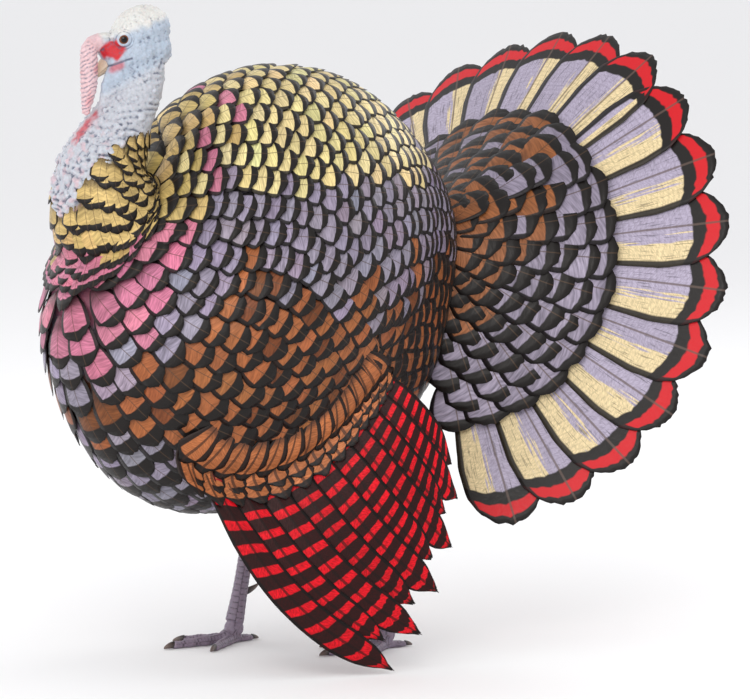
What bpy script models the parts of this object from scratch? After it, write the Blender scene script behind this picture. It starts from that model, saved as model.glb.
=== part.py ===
"""Wild turkey gobbler in strut, life size, as a still display model.

Metres, +Z up. The bird faces -Y and its own left side is +X. The floor is Z = 0.
It is divided where a person would name its parts. Every shape comes from a primitive, a curve or a
grid that is bent by a formula, and pieces that would meet are parted by cuts GAP wide.
"""

import math

import bmesh
import bpy
import numpy as np
from mathutils import Matrix, Vector

GAP = 0.0004
# From the middle of the trunk to the middle of the whole bird's box on the floor.
ORIGIN_SHIFT = (0.0268, -0.1604)

# Trunk: an egg with swellings. Each swelling is (degrees from the tail end upwards, height, spread).
TRUNK_CENTRE = np.array([0.0, 0.0, 0.50])
TRUNK_HALF_SIZES = np.array([0.205, 0.290, 0.285])
TRUNK_SWELLINGS = (
    (52.0, 0.048, 30.0), (12.0, 0.040, 16.0), (136.0, -0.058, 21.0),
    (-165.0, 0.008, 20.0), (-118.0, 0.026, 22.0), (-27.0, 0.040, 15.0), (-62.0, -0.020, 14.0),
)

# Tail: the fan's middle, and how far it leans back, turns and rolls towards the bird's left.
FAN_CENTRE = np.array([0.006, 0.335, 0.528])
FAN_YAW, FAN_LEAN, FAN_ROLL = math.radians(25.5), math.radians(34), math.radians(40)
FAN_HALF_SPREAD = math.radians(120)
FAN_SWEEP, FAN_SWEEP_POWER = 0.34, 1.6
FAN_RADIUS = 0.413
RECTRICES = 18
COVERT_RADIUS = 0.262
FAN_CLEARANCE = 0.0028

# Neck and head. The head is turned to the bird's right and the bill points down.
HEAD_CENTRE = Vector((0.0, -0.163, 0.855))
HEAD_YAW, HEAD_PITCH = math.radians(-24), math.radians(27)
HEAD_HALF_SIZES = np.array([0.056, 0.0310, 0.0410])
EYE_RADIUS = 0.0100
# The snood grows from the brow and hangs past the bill on the bird's left, in the head's own frame.
SNOOD_PATH = (
    (0.003, -0.048, 0.0230), (0.0100, -0.063, 0.0220), (0.0205, -0.073, 0.0060),
    (0.0250, -0.087, -0.0235), (0.0250, -0.106, -0.0540),
)
SNOOD_RADII = (0.0080, 0.0100, 0.0115, 0.0115, 0.0060)
NECK_PATH = ((0, -0.165, 0.560), (0, -0.206, 0.620), (0, -0.218, 0.680), (0, -0.188, 0.740), (0, -0.150, 0.812))
NECK_RADII = (0.088, 0.084, 0.063, 0.043, 0.031)
NECK_PARTING = 0.690

# Legs: (hip, hock, ankle) on the floor plan of the trunk, for the left and the right side.
LEGS = {
    "left": ((0.078, 0.110, 0.310), (0.082, 0.222, 0.168), (0.082, 0.190, 0.016)),
    "right": ((-0.078, 0.020, 0.290), (-0.080, 0.078, 0.172), (-0.080, 0.046, 0.016)),
}
THIGH_RADII = (0.070, 0.055, 0.024)
SHANK_RADII = (0.0145, 0.0108, 0.0104, 0.0130)
# Toes: name, degrees from straight ahead, length, radius at the root.
TOES = (("inner", 37, 0.066, 0.0078), ("middle", 2, 0.094, 0.0085), ("outer", -36, 0.072, 0.0078), ("hind", 176, 0.030, 0.0066))
TOE_HEIGHT = 0.70
CLAW_LENGTH = 0.017
SPUR_LENGTH = 0.020

# Wings: the angle of the wrist round the trunk's side, and the arc that the feather tips follow.
WINGS = {
    "left": {"wrist": 225, "arc": (227, 318), "bow": 0.056, "rows": 3, "tips": ((0.250, 0.055, -0.024), (0.272, 0.190, 0.085), (0.236, 0.200, 0.290))},
    "right": {"wrist": 207, "arc": (252, 345), "bow": 0.012, "rows": 2, "tips": ((0.226, 0.215, 0.185), (0.244, 0.270, 0.250), (0.214, 0.235, 0.385))},
}
WING_REACH = (50.0, 14.0)
WING_DEPTH = 0.030
WING_EDGE = 0.0080
WING_CLEARANCE = 0.0036
PRIMARIES, SECONDARIES = 10, 10
PRIMARY_SHARE = 0.62

SIDES = {"left": 1.0, "right": -1.0}
parts = bpy.data.collections.new("wild_turkey")
cutters = bpy.data.collections.new("cutters")


# ---- scene and materials ---------------------------------------------------------------------

def clear_scene():
    for old in list(bpy.data.objects):
        bpy.data.objects.remove(old)
    for group in (parts, cutters):
        bpy.context.scene.collection.children.link(group)
    cutters.hide_render = True


def material(name, colour, roughness, metallic=0.0):
    """A plain finish: linear colour, roughness and metallic value."""
    made = bpy.data.materials.new(name)
    made.use_nodes = True
    shader = made.node_tree.nodes["Principled BSDF"]
    shader.inputs["Base Color"].default_value = (*colour, 1.0)
    shader.inputs["Roughness"].default_value = roughness
    shader.inputs["Metallic"].default_value = metallic
    made.diffuse_color = (*colour, 1.0)
    return made


def finish(obj, finish_material, cutting=False):
    """Puts an object in its collection. A cutter is kept out of the render and drawn as wire."""
    obj.data.materials.append(finish_material) if finish_material else None
    (cutters if cutting else parts).objects.link(obj)
    if cutting:
        obj.hide_render = True
        obj.display_type = "WIRE"
    obj.location.x += ORIGIN_SHIFT[0]
    obj.location.y += ORIGIN_SHIFT[1]
    return obj


# ---- shape helpers ---------------------------------------------------------------------------

def unit(vectors):
    return vectors / np.linalg.norm(vectors, axis=-1, keepdims=True)


def shaped(name, made, shape, finish_material, cutting=False):
    """The bmesh `made` as an object, with each vertex moved to where `shape` sends it."""
    coordinates = np.array([vertex.co for vertex in made.verts])
    for vertex, place in zip(made.verts, shape(coordinates), strict=True):
        vertex.co = place
    bmesh.ops.remove_doubles(made, verts=made.verts, dist=1e-6)
    bmesh.ops.recalc_face_normals(made, faces=made.faces)
    # One fixed diagonal per quad, so that a part and the cutter made from it agree.
    bmesh.ops.triangulate(made, faces=made.faces, quad_method="FIXED")
    if made.calc_volume(signed=True) < 0:
        bmesh.ops.reverse_faces(made, faces=made.faces)
    mesh = bpy.data.meshes.new(name)
    made.to_mesh(mesh)
    made.free()
    mesh.shade_smooth()
    mesh.set_sharp_from_angle(angle=math.radians(50))
    return finish(bpy.data.objects.new(name, mesh), finish_material, cutting)


def ball(name, segments, rings, shape, finish_material, cutting=False):
    """A sphere bent by shape(unit vectors)."""
    made = bmesh.new()
    bmesh.ops.create_uvsphere(made, u_segments=segments, v_segments=rings, radius=1.0)
    return shaped(name, made, shape, finish_material, cutting)


def block(name, middle, half):
    """A cube that only cuts."""
    made = bmesh.new()
    bmesh.ops.create_cube(made, size=2 * half)
    return shaped(name, made, lambda p: p + np.array(middle), None, cutting=True)


def slab(name, columns, rows, shape, finish_material):
    """A flat grid given a second face and bent by shape(a, b, side): a and b run from -1 to 1 and
    side is 0 on the near face and 1 on the far one."""
    made = bmesh.new()
    bmesh.ops.create_grid(made, x_segments=columns, y_segments=rows, size=1.0)
    second = bmesh.ops.extrude_face_region(made, geom=made.faces[:])
    for part in second["geom"]:
        if isinstance(part, bmesh.types.BMVert):
            part.co.z = 1.0
    return shaped(name, made, lambda p: shape(p[:, 0], p[:, 1], p[:, 2]), finish_material)


def tube(name, path, radii, finish_material, sides=3, smooth=3, floor=None, flatten=1.0):
    """A closed tube on a smooth curve through `path`, as a mesh. Points under `floor` are raised to
    it, which leaves a small flat, and `flatten` scales the width across X."""
    curve = bpy.data.curves.new(name, "CURVE")
    curve.dimensions = "3D"
    curve.bevel_depth = 1.0
    curve.bevel_resolution = sides
    curve.resolution_u = smooth
    curve.use_fill_caps = True
    spline = curve.splines.new("BEZIER")
    spline.bezier_points.add(len(path) - 1)
    for point, place, radius in zip(spline.bezier_points, path, radii, strict=True):
        point.co = place
        point.radius = radius
        point.handle_left_type = point.handle_right_type = "AUTO"
    guide = bpy.data.objects.new(name + "_guide", curve)
    bpy.context.scene.collection.objects.link(guide)
    bpy.context.view_layer.update()
    graph = bpy.context.evaluated_depsgraph_get()
    mesh = bpy.data.meshes.new_from_object(guide.evaluated_get(graph))
    bpy.data.objects.remove(guide)
    made = bmesh.new()
    made.from_mesh(mesh)
    bpy.data.meshes.remove(mesh)

    def settle(points):
        middle = points[:, 0].mean()
        points[:, 0] = middle + (points[:, 0] - middle) * flatten
        if floor is not None:
            points[:, 2] = np.maximum(points[:, 2], floor)
        return points

    return shaped(name, made, settle, finish_material)


def cut(obj, cutter):
    """Takes the cutter's volume out of obj, or leaves it out if they don't meet."""
    modifier = obj.modifiers.new("cut_" + cutter.name, "BOOLEAN")
    modifier.operation = "DIFFERENCE"
    modifier.object = cutter


def spike(name, root, tip, bend, radius, finish_material, floor=None):
    """A curved cone from root to tip, bowed by `bend`: claws and spurs."""
    root, tip, bend = Vector(root), Vector(tip), Vector(bend)
    middle = (root + tip) / 2 + bend
    return tube(name, (root, middle, tip), (radius, radius * 0.66, radius * 0.16), finish_material, 1, 1, floor)


# ---- trunk -----------------------------------------------------------------------------------

def trunk_radius(directions):
    """Distance from the trunk's centre to its surface: an ellipsoid plus the swellings, which fade
    away from the plane of symmetry."""
    radius = 1.0 / np.linalg.norm(directions / TRUNK_HALF_SIZES, axis=-1)
    for degrees, height, spread in TRUNK_SWELLINGS:
        towards = np.array([0.0, math.cos(math.radians(degrees)), math.sin(math.radians(degrees))])
        apart = np.degrees(np.arccos(np.clip(directions @ towards, -1, 1)))
        radius = radius + height * np.exp(-0.5 * (apart / spread) ** 2)
    return radius


def on_trunk(directions, out=0.0):
    """Points `out` beyond the trunk's surface in these directions."""
    return TRUNK_CENTRE + directions * (trunk_radius(directions) + out)[:, None]


def build_trunk(plumage):
    trunk = ball("trunk", 30, 18, lambda p: on_trunk(unit(p)), plumage)
    cutter = ball("trunk_cutter", 30, 18, lambda p: on_trunk(unit(p), GAP * 3), None, cutting=True)
    return trunk, cutter


# ---- neck and head ---------------------------------------------------------------------------

HEAD_TURN = Matrix.Translation(HEAD_CENTRE) @ Matrix.Rotation(HEAD_YAW, 4, "Z") @ Matrix.Rotation(HEAD_PITCH, 4, "X")


def in_head(points):
    """From the head's own frame (bill along -Y, crown up) to the bird's."""
    turn = np.array(HEAD_TURN)
    return np.asarray(points, float) @ turn[:3, :3].T + turn[:3, 3]


def head_shape(points, out=0.0):
    """A skull: longer than high, narrowing to the bill, full at the crown and at the nape."""
    side, back, up = unit(points).T
    narrowing = 1.0 - 0.34 * np.clip(-back, 0, 1) ** 1.5
    crown = 1.0 + 0.12 * np.clip(up, 0, 1) * np.clip(0.4 - back, 0, 1.2)
    length, width, height = HEAD_HALF_SIZES[0] + out, HEAD_HALF_SIZES[1] + out, HEAD_HALF_SIZES[2] + out
    local = np.stack([side * width * narrowing, back * length, up * height * narrowing * crown], axis=1)
    return in_head(local)


def bill_shape(points, upper):
    """Half of a tapered egg, flat along the gape, with its tip drooping. The lower half is shorter."""
    across, back, up = points.T
    reach = (1 - back) / 2
    along = (0.058 if upper else 0.050) * reach
    rise = np.clip(up, 0, 1) * 0.0165 if upper else np.clip(up, -1, 0) * 0.0090
    taper = 1.0 - 0.50 * reach**1.5
    droop = -0.012 * (along / 0.058) ** 3 + (GAP / 2 if upper else -GAP / 2)
    return in_head(np.stack([across * 0.0135 * taper, -0.026 - along, rise * taper + droop - 0.0140], axis=1))


def build_head(skin, horn, eye_glass):
    head = ball("head", 20, 13, head_shape, skin)
    cutter = ball("head_cutter", 20, 13, lambda p: head_shape(p, GAP), None, cutting=True)
    for side, sign in SIDES.items():
        centre = in_head(((sign * 0.0185, -0.0170, 0.0095),))[0]
        eye = ball("eye_" + side, 10, 7, lambda p, c=centre: c + p * EYE_RADIUS, eye_glass)
        socket = ball("socket_" + side, 10, 7, lambda p, c=centre: c + p * (EYE_RADIUS + GAP), None, cutting=True)
        cut(head, socket)
        eye.data.shade_smooth()
    for name, upper in (("bill_upper", True), ("bill_lower", False)):
        cut(ball(name, 10, 9, lambda p, u=upper: bill_shape(p, u), horn), cutter)
    snood_path = [tuple(p) for p in in_head(SNOOD_PATH)]
    snood = tube("snood", snood_path, SNOOD_RADII, skin, 3, 3)
    cut(snood, cutter)
    return head, cutter


def build_neck(skin, trunk_cutter, head_cutter):
    """The neck in two lengths: one tube, parted at NECK_PARTING by a block above or below it."""
    for name, way in (("neck_base", 1.0), ("neck_upper", -1.0)):
        length = tube(name, NECK_PATH, NECK_RADII, skin, 4, 3)
        middle = (0.0, -0.19, NECK_PARTING + way * (0.2 - GAP / 2))
        parting = block(name + "_block", middle, 0.2)
        for cutter in (trunk_cutter, parting) if way > 0 else (trunk_cutter, parting, head_cutter):
            cut(length, cutter)


# ---- tail ------------------------------------------------------------------------------------

def fan_axes():
    """The fan's up, left and front directions, leaned back and turned, before the roll."""
    turn = Matrix.Rotation(FAN_YAW, 3, "Z") @ Matrix.Rotation(-FAN_LEAN, 3, "X")
    return [np.array(turn @ Vector(v)) for v in ((0, 0, 1), (1, 0, 0), (0, -1, 0))]


def fan_point(angle, radius, forward):
    """A point of the fan at this angle from the middle feather, positive towards the bird's left.
    The outer feathers sweep back, so the fan is hollow behind."""
    up, left, front = fan_axes()
    rolled = angle + FAN_ROLL
    sweep = FAN_SWEEP * np.abs(np.sin(angle)) ** FAN_SWEEP_POWER
    along = unit(np.cos(rolled)[:, None] * up + np.sin(rolled)[:, None] * left - sweep[:, None] * front)
    return FAN_CENTRE + along * radius[:, None] + front * forward[:, None]


def scallop(angle, count, depth):
    """1 at the middle of each of `count` feathers across the spread, less by `depth` between them."""
    place = (angle / FAN_HALF_SPREAD + 1) / 2 * count
    return 1 - depth * (2 * (place - np.floor(place)) - 1) ** 4


def rectrix_reach(angle):
    """The feathers are nearly one length, a little shorter at the sides."""
    return FAN_RADIUS * (1 - 0.05 * (angle / FAN_HALF_SPREAD) ** 2)


def fan_shape(inner, outer, notches, depth, near, far):
    """A slab of the fan from the inner radius to outer(angle), between the distances near(share)
    and far(share) in front of the fan's own surface."""
    def shape(a, b, side):
        angle = a * FAN_HALF_SPREAD * 0.999
        share = (b + 1) / 2
        edge = outer(angle) * (1 - (1 - scallop(angle, notches, depth)) * share**3)
        radius = inner + (edge - inner) * share
        return fan_point(angle, radius, np.where(side > 0.5, far(share), near(share)))
    return shape


def build_tail(vane, covert, trunk_cutter):
    thin = 0.0030
    fan = fan_shape(0.020, rectrix_reach, RECTRICES, 0.045, lambda s: -thin + 0 * s, lambda s: 0 * s)
    over = fan_shape(
        0.022, lambda a: COVERT_RADIUS + 0 * a, RECTRICES, 0.05,
        lambda s: FAN_CLEARANCE + 0 * s, lambda s: 0.008 + 0.062 * (1 - s) ** 1.3,
    )
    under = fan_shape(
        0.022, lambda a: 0.70 * COVERT_RADIUS + 0 * a, 12, 0.06,
        lambda s: -thin - 0.008 - 0.040 * (1 - s) ** 1.2, lambda s: -thin - FAN_CLEARANCE + 0 * s,
    )
    for name, shape, rows, columns, finish_material in (
        ("tail_fan", fan, 2, 4 * RECTRICES, vane),
        ("tail_coverts_upper", over, 3, 2 * RECTRICES, covert),
        ("tail_coverts_under", under, 3, 24, covert),
    ):
        cut(slab(name, columns, rows, shape, finish_material), trunk_cutter)


# ---- wings -----------------------------------------------------------------------------------

def wing_reach(angle, wrist):
    """How far the wing's coverts reach round the trunk from its side, in radians: furthest at the
    wrist and opposite it."""
    middle, more = WING_REACH
    return np.radians(middle + more * np.cos(2 * (angle - math.radians(wrist))))


def side_direction(sign, angle, reach):
    """Directions from the trunk's centre: `reach` away from straight sideways, at `angle` round the
    side, counted from the tail end upwards."""
    return np.stack([sign * np.cos(reach), np.sin(reach) * np.cos(angle), np.sin(reach) * np.sin(angle)], axis=-1)


def coverts_shape(sign, wrist):
    """A lens on the trunk's side: a square grid drawn in to a disc, thick in the middle."""
    def shape(a, b, side):
        x, y = a * np.sqrt(1 - b**2 / 2), b * np.sqrt(1 - a**2 / 2)
        angle, share = np.arctan2(y, x), np.hypot(x, y)
        direction = side_direction(sign, angle, wing_reach(angle, wrist) * share)
        depth = WING_EDGE + (WING_DEPTH - WING_EDGE) * (1 - share**2) ** 0.6
        return on_trunk(direction, 0) + direction * np.where(side > 0.5, depth, WING_CLEARANCE)[:, None]
    return shape


def bezier(points, t):
    first, second, third = (np.array(p) for p in points)
    t = t[:, None]
    return (1 - t) ** 2 * first + 2 * t * (1 - t) * second + t**2 * third


def flight_shape(sign, wing, start, end, feathers, notch):
    """A fan of flight feathers from the lower rim of the coverts to the arc of tips. Each feather's
    end is rounded, `notch` deep between neighbours."""
    mirror = np.array([sign, 1, 1])

    def sheet(t, w):
        angle = np.radians(wing["arc"][0] + (wing["arc"][1] - wing["arc"][0]) * t)
        direction = side_direction(sign, angle, wing_reach(angle, wing["wrist"]) + math.radians(0.80))
        root = on_trunk(direction, (WING_EDGE + WING_CLEARANCE) * 0.5)
        tip = bezier(wing["tips"], t) * mirror
        bow = np.sin(math.pi * w)
        forward = wing["bow"] * (1 - t) ** 1.3
        return root + (tip - root) * w[:, None] + np.stack(
            [sign * 0.020 * bow, -0.80 * forward * bow, -0.60 * forward * bow], axis=1), direction

    def shape(a, b, side):
        share = (a + 1) / 2
        t = start + (end - start) * share
        place = share * feathers
        rounded = 1 - notch * (2 * (place - np.floor(np.clip(place, 0, feathers - 1e-6))) - 1) ** 4
        w = (b + 1) / 2
        middle, outward = sheet(t, w * (1 - (1 - rounded) * w**2))
        leaving = np.clip(w * 4, 0, 1)[:, None]
        outward = unit(outward * (1 - leaving) + np.array([sign, -0.25, 0.05]) * leaving)
        half = (WING_EDGE - WING_CLEARANCE) * 0.5 * (1 - 0.45 * w)
        points = middle + outward * (half * (2 * side - 1))[:, None]
        points[:, 2] = np.maximum(points[:, 2], 0)
        return points
    return shape


def build_wing(side, covert, vane):
    sign, wing = SIDES[side], WINGS[side]
    slab(f"wing_{side}_coverts", 8, 8, coverts_shape(sign, wing["wrist"]), covert)
    for name, start, end, count, notch in (
        ("primaries", 0.0, PRIMARY_SHARE - 0.004, PRIMARIES, 0.16),
        ("secondaries", PRIMARY_SHARE + 0.004, 1.0, SECONDARIES, 0.10),
    ):
        shape = flight_shape(sign, wing, start, end, count, notch)
        slab(f"wing_{side}_{name}", 2 * count, wing["rows"], shape, vane)


# ---- legs ------------------------------------------------------------------------------------

def build_toes(side, ankle, scales, horn):
    """Four toes joined into one foot by a union, cut flat at the floor, and a claw on each."""
    foot = tube(f"foot_{side}", ((ankle[0], ankle[1] + 0.004, 0.0150), (ankle[0], ankle[1], 0.0090), (ankle[0], ankle[1] - 0.012, 0.0060)),
                (0.0105, 0.0115, 0.0090), scales, 3, 2)
    for name, degrees, length, radius in TOES:
        turn = math.radians(degrees) * SIDES[side] * -1
        ahead = Vector((math.sin(turn) * -1, -math.cos(turn), 0))
        rings = ((0.0, 1.0), (0.5, 0.88), (1.0, 0.66))
        path = [Vector((*ankle.xy, radius * TOE_HEIGHT * size)) + ahead * length * share for share, size in rings]
        toe = tube(f"toe_{side}_{name}", path, (radius, radius * 0.88, radius * 0.66), scales, 2, 2)
        parts.objects.unlink(toe)
        cutters.objects.link(toe)
        toe.hide_render = True
        toe.display_type = "WIRE"
        join = foot.modifiers.new("join_" + name, "BOOLEAN")
        join.operation = "UNION"
        join.object = toe
        root = path[2] + ahead * (GAP * 3) + Vector((0, 0, 0.0008))
        tip = root + ahead * CLAW_LENGTH * (0.75 if name == "hind" else 1.0)
        tip.z = 0.0012
        spike(f"claw_{side}_{name}", root, tip, (0, 0, 0.0018), radius * 0.60, horn, 0.0)
    cut(foot, block(f"floor_{side}", (*ankle.xy, -0.2), 0.2))


def build_leg(side, plumage, scales, horn, trunk_cutter):
    hip, hock, ankle = (Vector(p) for p in LEGS[side])
    knee = (hip + hock) / 2 + Vector((0, -0.006, 0.004))
    end = hock + (hip - hock).normalized() * 0.004
    thigh = tube(f"thigh_{side}", (hip, knee, end), THIGH_RADII, plumage, 3, 4)
    cut(thigh, trunk_cutter)
    down = (ankle - hock).normalized()
    top = hock - down * 0.002
    stops = [top, hock + down * 0.035, hock + down * 0.095, ankle + Vector((0, 0.002, 0.0135))]
    shank = tube(f"shank_{side}", stops, SHANK_RADII, scales, 3, 3)
    past = end - (hip - hock).normalized() * GAP * 2
    hock_cutter = tube(f"hock_cutter_{side}", (hip, knee, past), [r + GAP for r in THIGH_RADII], None, 3, 4)
    parts.objects.unlink(hock_cutter)
    cutters.objects.link(hock_cutter)
    hock_cutter.hide_render = True
    cut(shank, hock_cutter)
    build_toes(side, ankle, scales, horn)
    behind = hock + down * 0.105 + Vector((0, 0.0128, 0))
    spike(f"spur_{side}", behind, behind + Vector((0, SPUR_LENGTH, 0.007)), (0, 0, -0.002), 0.0048, horn)


def main():
    clear_scene()
    contour = material("contour_feathers", (0.18, 0.10, 0.07), 0.45, 0.1)
    covert = material("covert_feathers", (0.30, 0.16, 0.08), 0.45, 0.1)
    barred = material("barred_flight_feathers", (0.45, 0.02, 0.03), 0.45)
    banded = material("banded_tail_feathers", (0.42, 0.36, 0.40), 0.5)
    skin = material("bare_skin", (0.72, 0.68, 0.72), 0.45)
    scales = material("leg_scales", (0.35, 0.28, 0.33), 0.5)
    horn = material("horn", (0.20, 0.15, 0.11), 0.35)
    eye_glass = material("eye", (0.03, 0.015, 0.01), 0.08)

    trunk, trunk_cutter = build_trunk(contour)
    head, head_cutter = build_head(skin, horn, eye_glass)
    build_neck(skin, trunk_cutter, head_cutter)
    build_tail(banded, covert, trunk_cutter)
    for side in SIDES:
        build_wing(side, covert, barred)
        build_leg(side, contour, scales, horn, trunk_cutter)


main()
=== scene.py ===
import math

import bmesh
import bpy
import numpy as np
from mathutils import Matrix, Vector


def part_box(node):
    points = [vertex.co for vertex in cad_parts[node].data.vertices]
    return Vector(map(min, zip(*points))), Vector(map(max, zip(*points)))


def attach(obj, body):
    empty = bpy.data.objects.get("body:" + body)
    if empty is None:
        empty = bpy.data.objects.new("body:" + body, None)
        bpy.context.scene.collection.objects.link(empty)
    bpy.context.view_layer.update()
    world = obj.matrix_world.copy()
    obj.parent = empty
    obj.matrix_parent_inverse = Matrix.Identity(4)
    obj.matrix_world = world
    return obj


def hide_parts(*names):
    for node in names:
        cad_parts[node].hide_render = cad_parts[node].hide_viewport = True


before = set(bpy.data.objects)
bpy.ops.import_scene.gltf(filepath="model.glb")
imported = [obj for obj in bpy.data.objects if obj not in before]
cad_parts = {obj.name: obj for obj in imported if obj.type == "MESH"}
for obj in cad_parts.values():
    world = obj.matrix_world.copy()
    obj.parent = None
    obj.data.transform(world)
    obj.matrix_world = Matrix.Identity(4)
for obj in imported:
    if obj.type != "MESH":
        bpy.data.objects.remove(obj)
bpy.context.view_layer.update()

# A wild turkey gobbler in strut: skin, then the feathers from the neck to the tail, then the stage.
# Shapes are worked out in the bird's own frame: trunk over the origin, bill towards -Y, left side +X.

rng = np.random.default_rng(11)


# Where the bird stands.

# Vectors made one long.
def unit(vectors):
    return vectors / np.maximum(np.linalg.norm(vectors, axis=-1, keepdims=True), 1e-12)


trunk = {
    "centre": np.array([0.0, 0.0, 0.50]),
    "halfSizes": np.array([0.205, 0.290, 0.285]),
    # degrees from the tail end upwards, height and spread of each swelling
    "swellings": ((52, 0.048, 30), (12, 0.040, 16), (136, -0.058, 21), (-165, 0.008, 20),
                  (-118, 0.026, 22), (-27, 0.040, 15), (-62, -0.020, 14)),
}


# An ellipsoid's radius plus bell-shaped swellings on the plane of symmetry.
def trunkRadius(directions):
    radius = 1 / np.linalg.norm(directions / trunk["halfSizes"], axis=-1)
    for degrees, height, spread in trunk["swellings"]:
        towards = np.array([0, math.cos(math.radians(degrees)), math.sin(math.radians(degrees))])
        apart = np.degrees(np.arccos(np.clip(directions @ towards, -1, 1)))
        radius = radius + height * np.exp(-0.5 * (apart / spread) ** 2)
    return radius


wings = {
    "left": {"sign": 1, "wrist": 225, "arc": (227, 318), "bow": 0.056,
             "tips": ((0.250, 0.055, -0.024), (0.272, 0.190, 0.085), (0.236, 0.200, 0.290))},
    "right": {"sign": -1, "wrist": 207, "arc": (252, 345), "bow": 0.012,
              "tips": ((0.226, 0.215, 0.185), (0.244, 0.270, 0.250), (0.214, 0.235, 0.385))},
    "reach": (50, 14), "depth": 0.030, "edge": 0.008,
}


# How far the folded wing reaches round the trunk: a mean angle plus a double-lobed wave.
def wingReach(angle, wrist):
    mean, swing = wings["reach"]
    return np.radians(mean + swing * np.cos(2 * (angle - np.radians(wrist))))


# Each wing is a lens on the trunk's side: its thickness falls as (1 - share squared)^1.2 from the middle
# to the rim, where share is 1, and fades out just past it. Gives the thickness and the share.
def wingBulge(directions):
    reach = np.arccos(np.clip(np.abs(directions[..., 0]), 0, 1))
    angle = np.arctan2(directions[..., 2], directions[..., 1])
    wrist = np.where(directions[..., 0] > 0, wings["left"]["wrist"], wings["right"]["wrist"])
    share = reach / wingReach(angle, wrist)
    lens = wings["edge"] + (wings["depth"] - wings["edge"]) * np.clip(1 - share**2, 0, 1) ** 1.2
    fade = np.clip((1.14 - share) / 0.24, 0, 1)
    return lens * fade * fade * (3 - 2 * fade), share


# The coat's surface: trunk plus wings.
def coatRadius(directions):
    return trunkRadius(directions) + wingBulge(directions)[0]


# A point of the coat: the trunk's middle plus the direction times the coat's radius, and any distance out.
def coatPoint(directions, out=0.0):
    return trunk["centre"] + directions * (coatRadius(directions) + out)[..., None]


# The surface normal: the cross product of two short steps over the surface.
def coatNormal(directions):
    helper = np.where(np.abs(directions[..., :1]) > 0.8, np.array([0.0, 1, 0]), np.array([1.0, 0, 0]))
    first = unit(np.cross(directions, helper))
    second = np.cross(directions, first)
    here = coatPoint(directions)
    normal = unit(np.cross(coatPoint(unit(directions + 0.01 * first)) - here,
                           coatPoint(unit(directions + 0.01 * second)) - here))
    return normal * np.sign((normal * directions).sum(-1, keepdims=True))


# Smooth noise from -1 to 1: the mean of twelve sine waves in fixed chance directions.
def waves(points, size, seed=1):
    chance = np.random.default_rng(seed)
    heading = unit(chance.normal(size=(12, 3))) * (2 * math.pi / size) * chance.uniform(0.6, 1.6, (12, 1))
    return np.clip(np.sin(points @ heading.T + chance.uniform(0, 6.28, 12)).mean(-1) * 2.2, -1, 1)


# A smooth step from 0 at low to 1 at high: 3 t^2 - 2 t^3 of the share t between them.
def smooth(low, high, value):
    t = np.clip((value - low) / (high - low), 0, 1)
    return t * t * (3 - 2 * t)


# The step from the bird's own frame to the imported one, from where the trunk's breast stands in each.
roughDirections = unit(np.stack(np.meshgrid(*[np.linspace(-1, 1, 25)] * 3), -1).reshape(-1, 3) + 1e-6)
trunkLow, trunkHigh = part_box("trunk")
trunkNear = trunk["centre"][1] + (roughDirections[:, 1] * trunkRadius(roughDirections)).min()
standing = np.array([(trunkLow.x + trunkHigh.x) / 2, trunkLow.y - trunkNear, 0.0])


# Meshes, colours and materials.

# An sRGB hex code as three linear numbers.
def linear(code):
    channels = np.array([int(code[i:i + 2], 16) / 255 for i in (1, 3, 5)])
    return np.where(channels <= 0.04045, channels / 12.92, ((channels + 0.055) / 1.055) ** 2.4)


# An sRGB hex code as a linear colour for a node.
def rgba(code):
    return (*linear(code), 1.0)


# An object for a mesh, a lamp or a camera, in the scene.
def putIn(name, data):
    thing = bpy.data.objects.new(name, data)
    bpy.context.scene.collection.objects.link(thing)
    return thing


# The mesh that an object's modifiers make; the object and its helpers are then taken out again.
def finished(piece, *helpers):
    bpy.context.view_layer.update()
    mesh = bpy.data.meshes.new_from_object(piece.evaluated_get(bpy.context.evaluated_depsgraph_get()))
    for used in (piece, *helpers):
        bpy.data.objects.remove(used)
    return mesh


# One named number for each corner of a mesh.
def addNumber(mesh, label, number):
    mesh.attributes.new(label, "FLOAT", "POINT").data.foreach_set("value", number.astype(np.float32))


# One named colour for each corner of a mesh.
def addColour(mesh, label, colour):
    full = np.concatenate([colour, np.ones((len(colour), 1))], 1)
    mesh.color_attributes.new(label, "FLOAT_COLOR", "POINT").data.foreach_set("color", full.astype(np.float32).ravel())


# One object from arrays: corners, quads, maps on the corners, and colours or numbers on the corners.
def makePiece(name, points, quads, material, maps, colours, numbers):
    mesh = bpy.data.meshes.new(name)
    points = np.asarray(points, dtype=np.float64) + standing
    mesh.vertices.add(len(points))
    mesh.vertices.foreach_set("co", points.astype(np.float32).ravel())
    mesh.loops.add(quads.size)
    mesh.loops.foreach_set("vertex_index", quads.astype(np.int32).ravel())
    mesh.polygons.add(len(quads))
    mesh.polygons.foreach_set("loop_start", np.arange(0, quads.size, quads.shape[1], dtype=np.int32))
    mesh.update(calc_edges=True)
    for label, uv in maps.items():
        mesh.uv_layers.new(name=label).data.foreach_set("uv", uv[quads.ravel()].astype(np.float32).ravel())
    for label, colour in colours.items():
        addColour(mesh, label, colour)
    for label, number in numbers.items():
        addNumber(mesh, label, number)
    mesh.shade_smooth()
    mesh.materials.append(material)
    piece = putIn(name, mesh)
    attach(piece, "root")
    print(f"{name}: {len(quads)} faces")
    return piece


# Fills a node's inputs. Each may be a value, a socket or a node, which stands for its first live output.
def fill(tree, node, inputs):
    for key, value in inputs.items():
        if isinstance(value, bpy.types.Node):
            value = next(output for output in value.outputs if output.enabled)
        if isinstance(value, bpy.types.NodeSocket):
            tree.links.new(value, node.inputs[key])
        else:
            node.inputs[key].default_value = value


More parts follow.
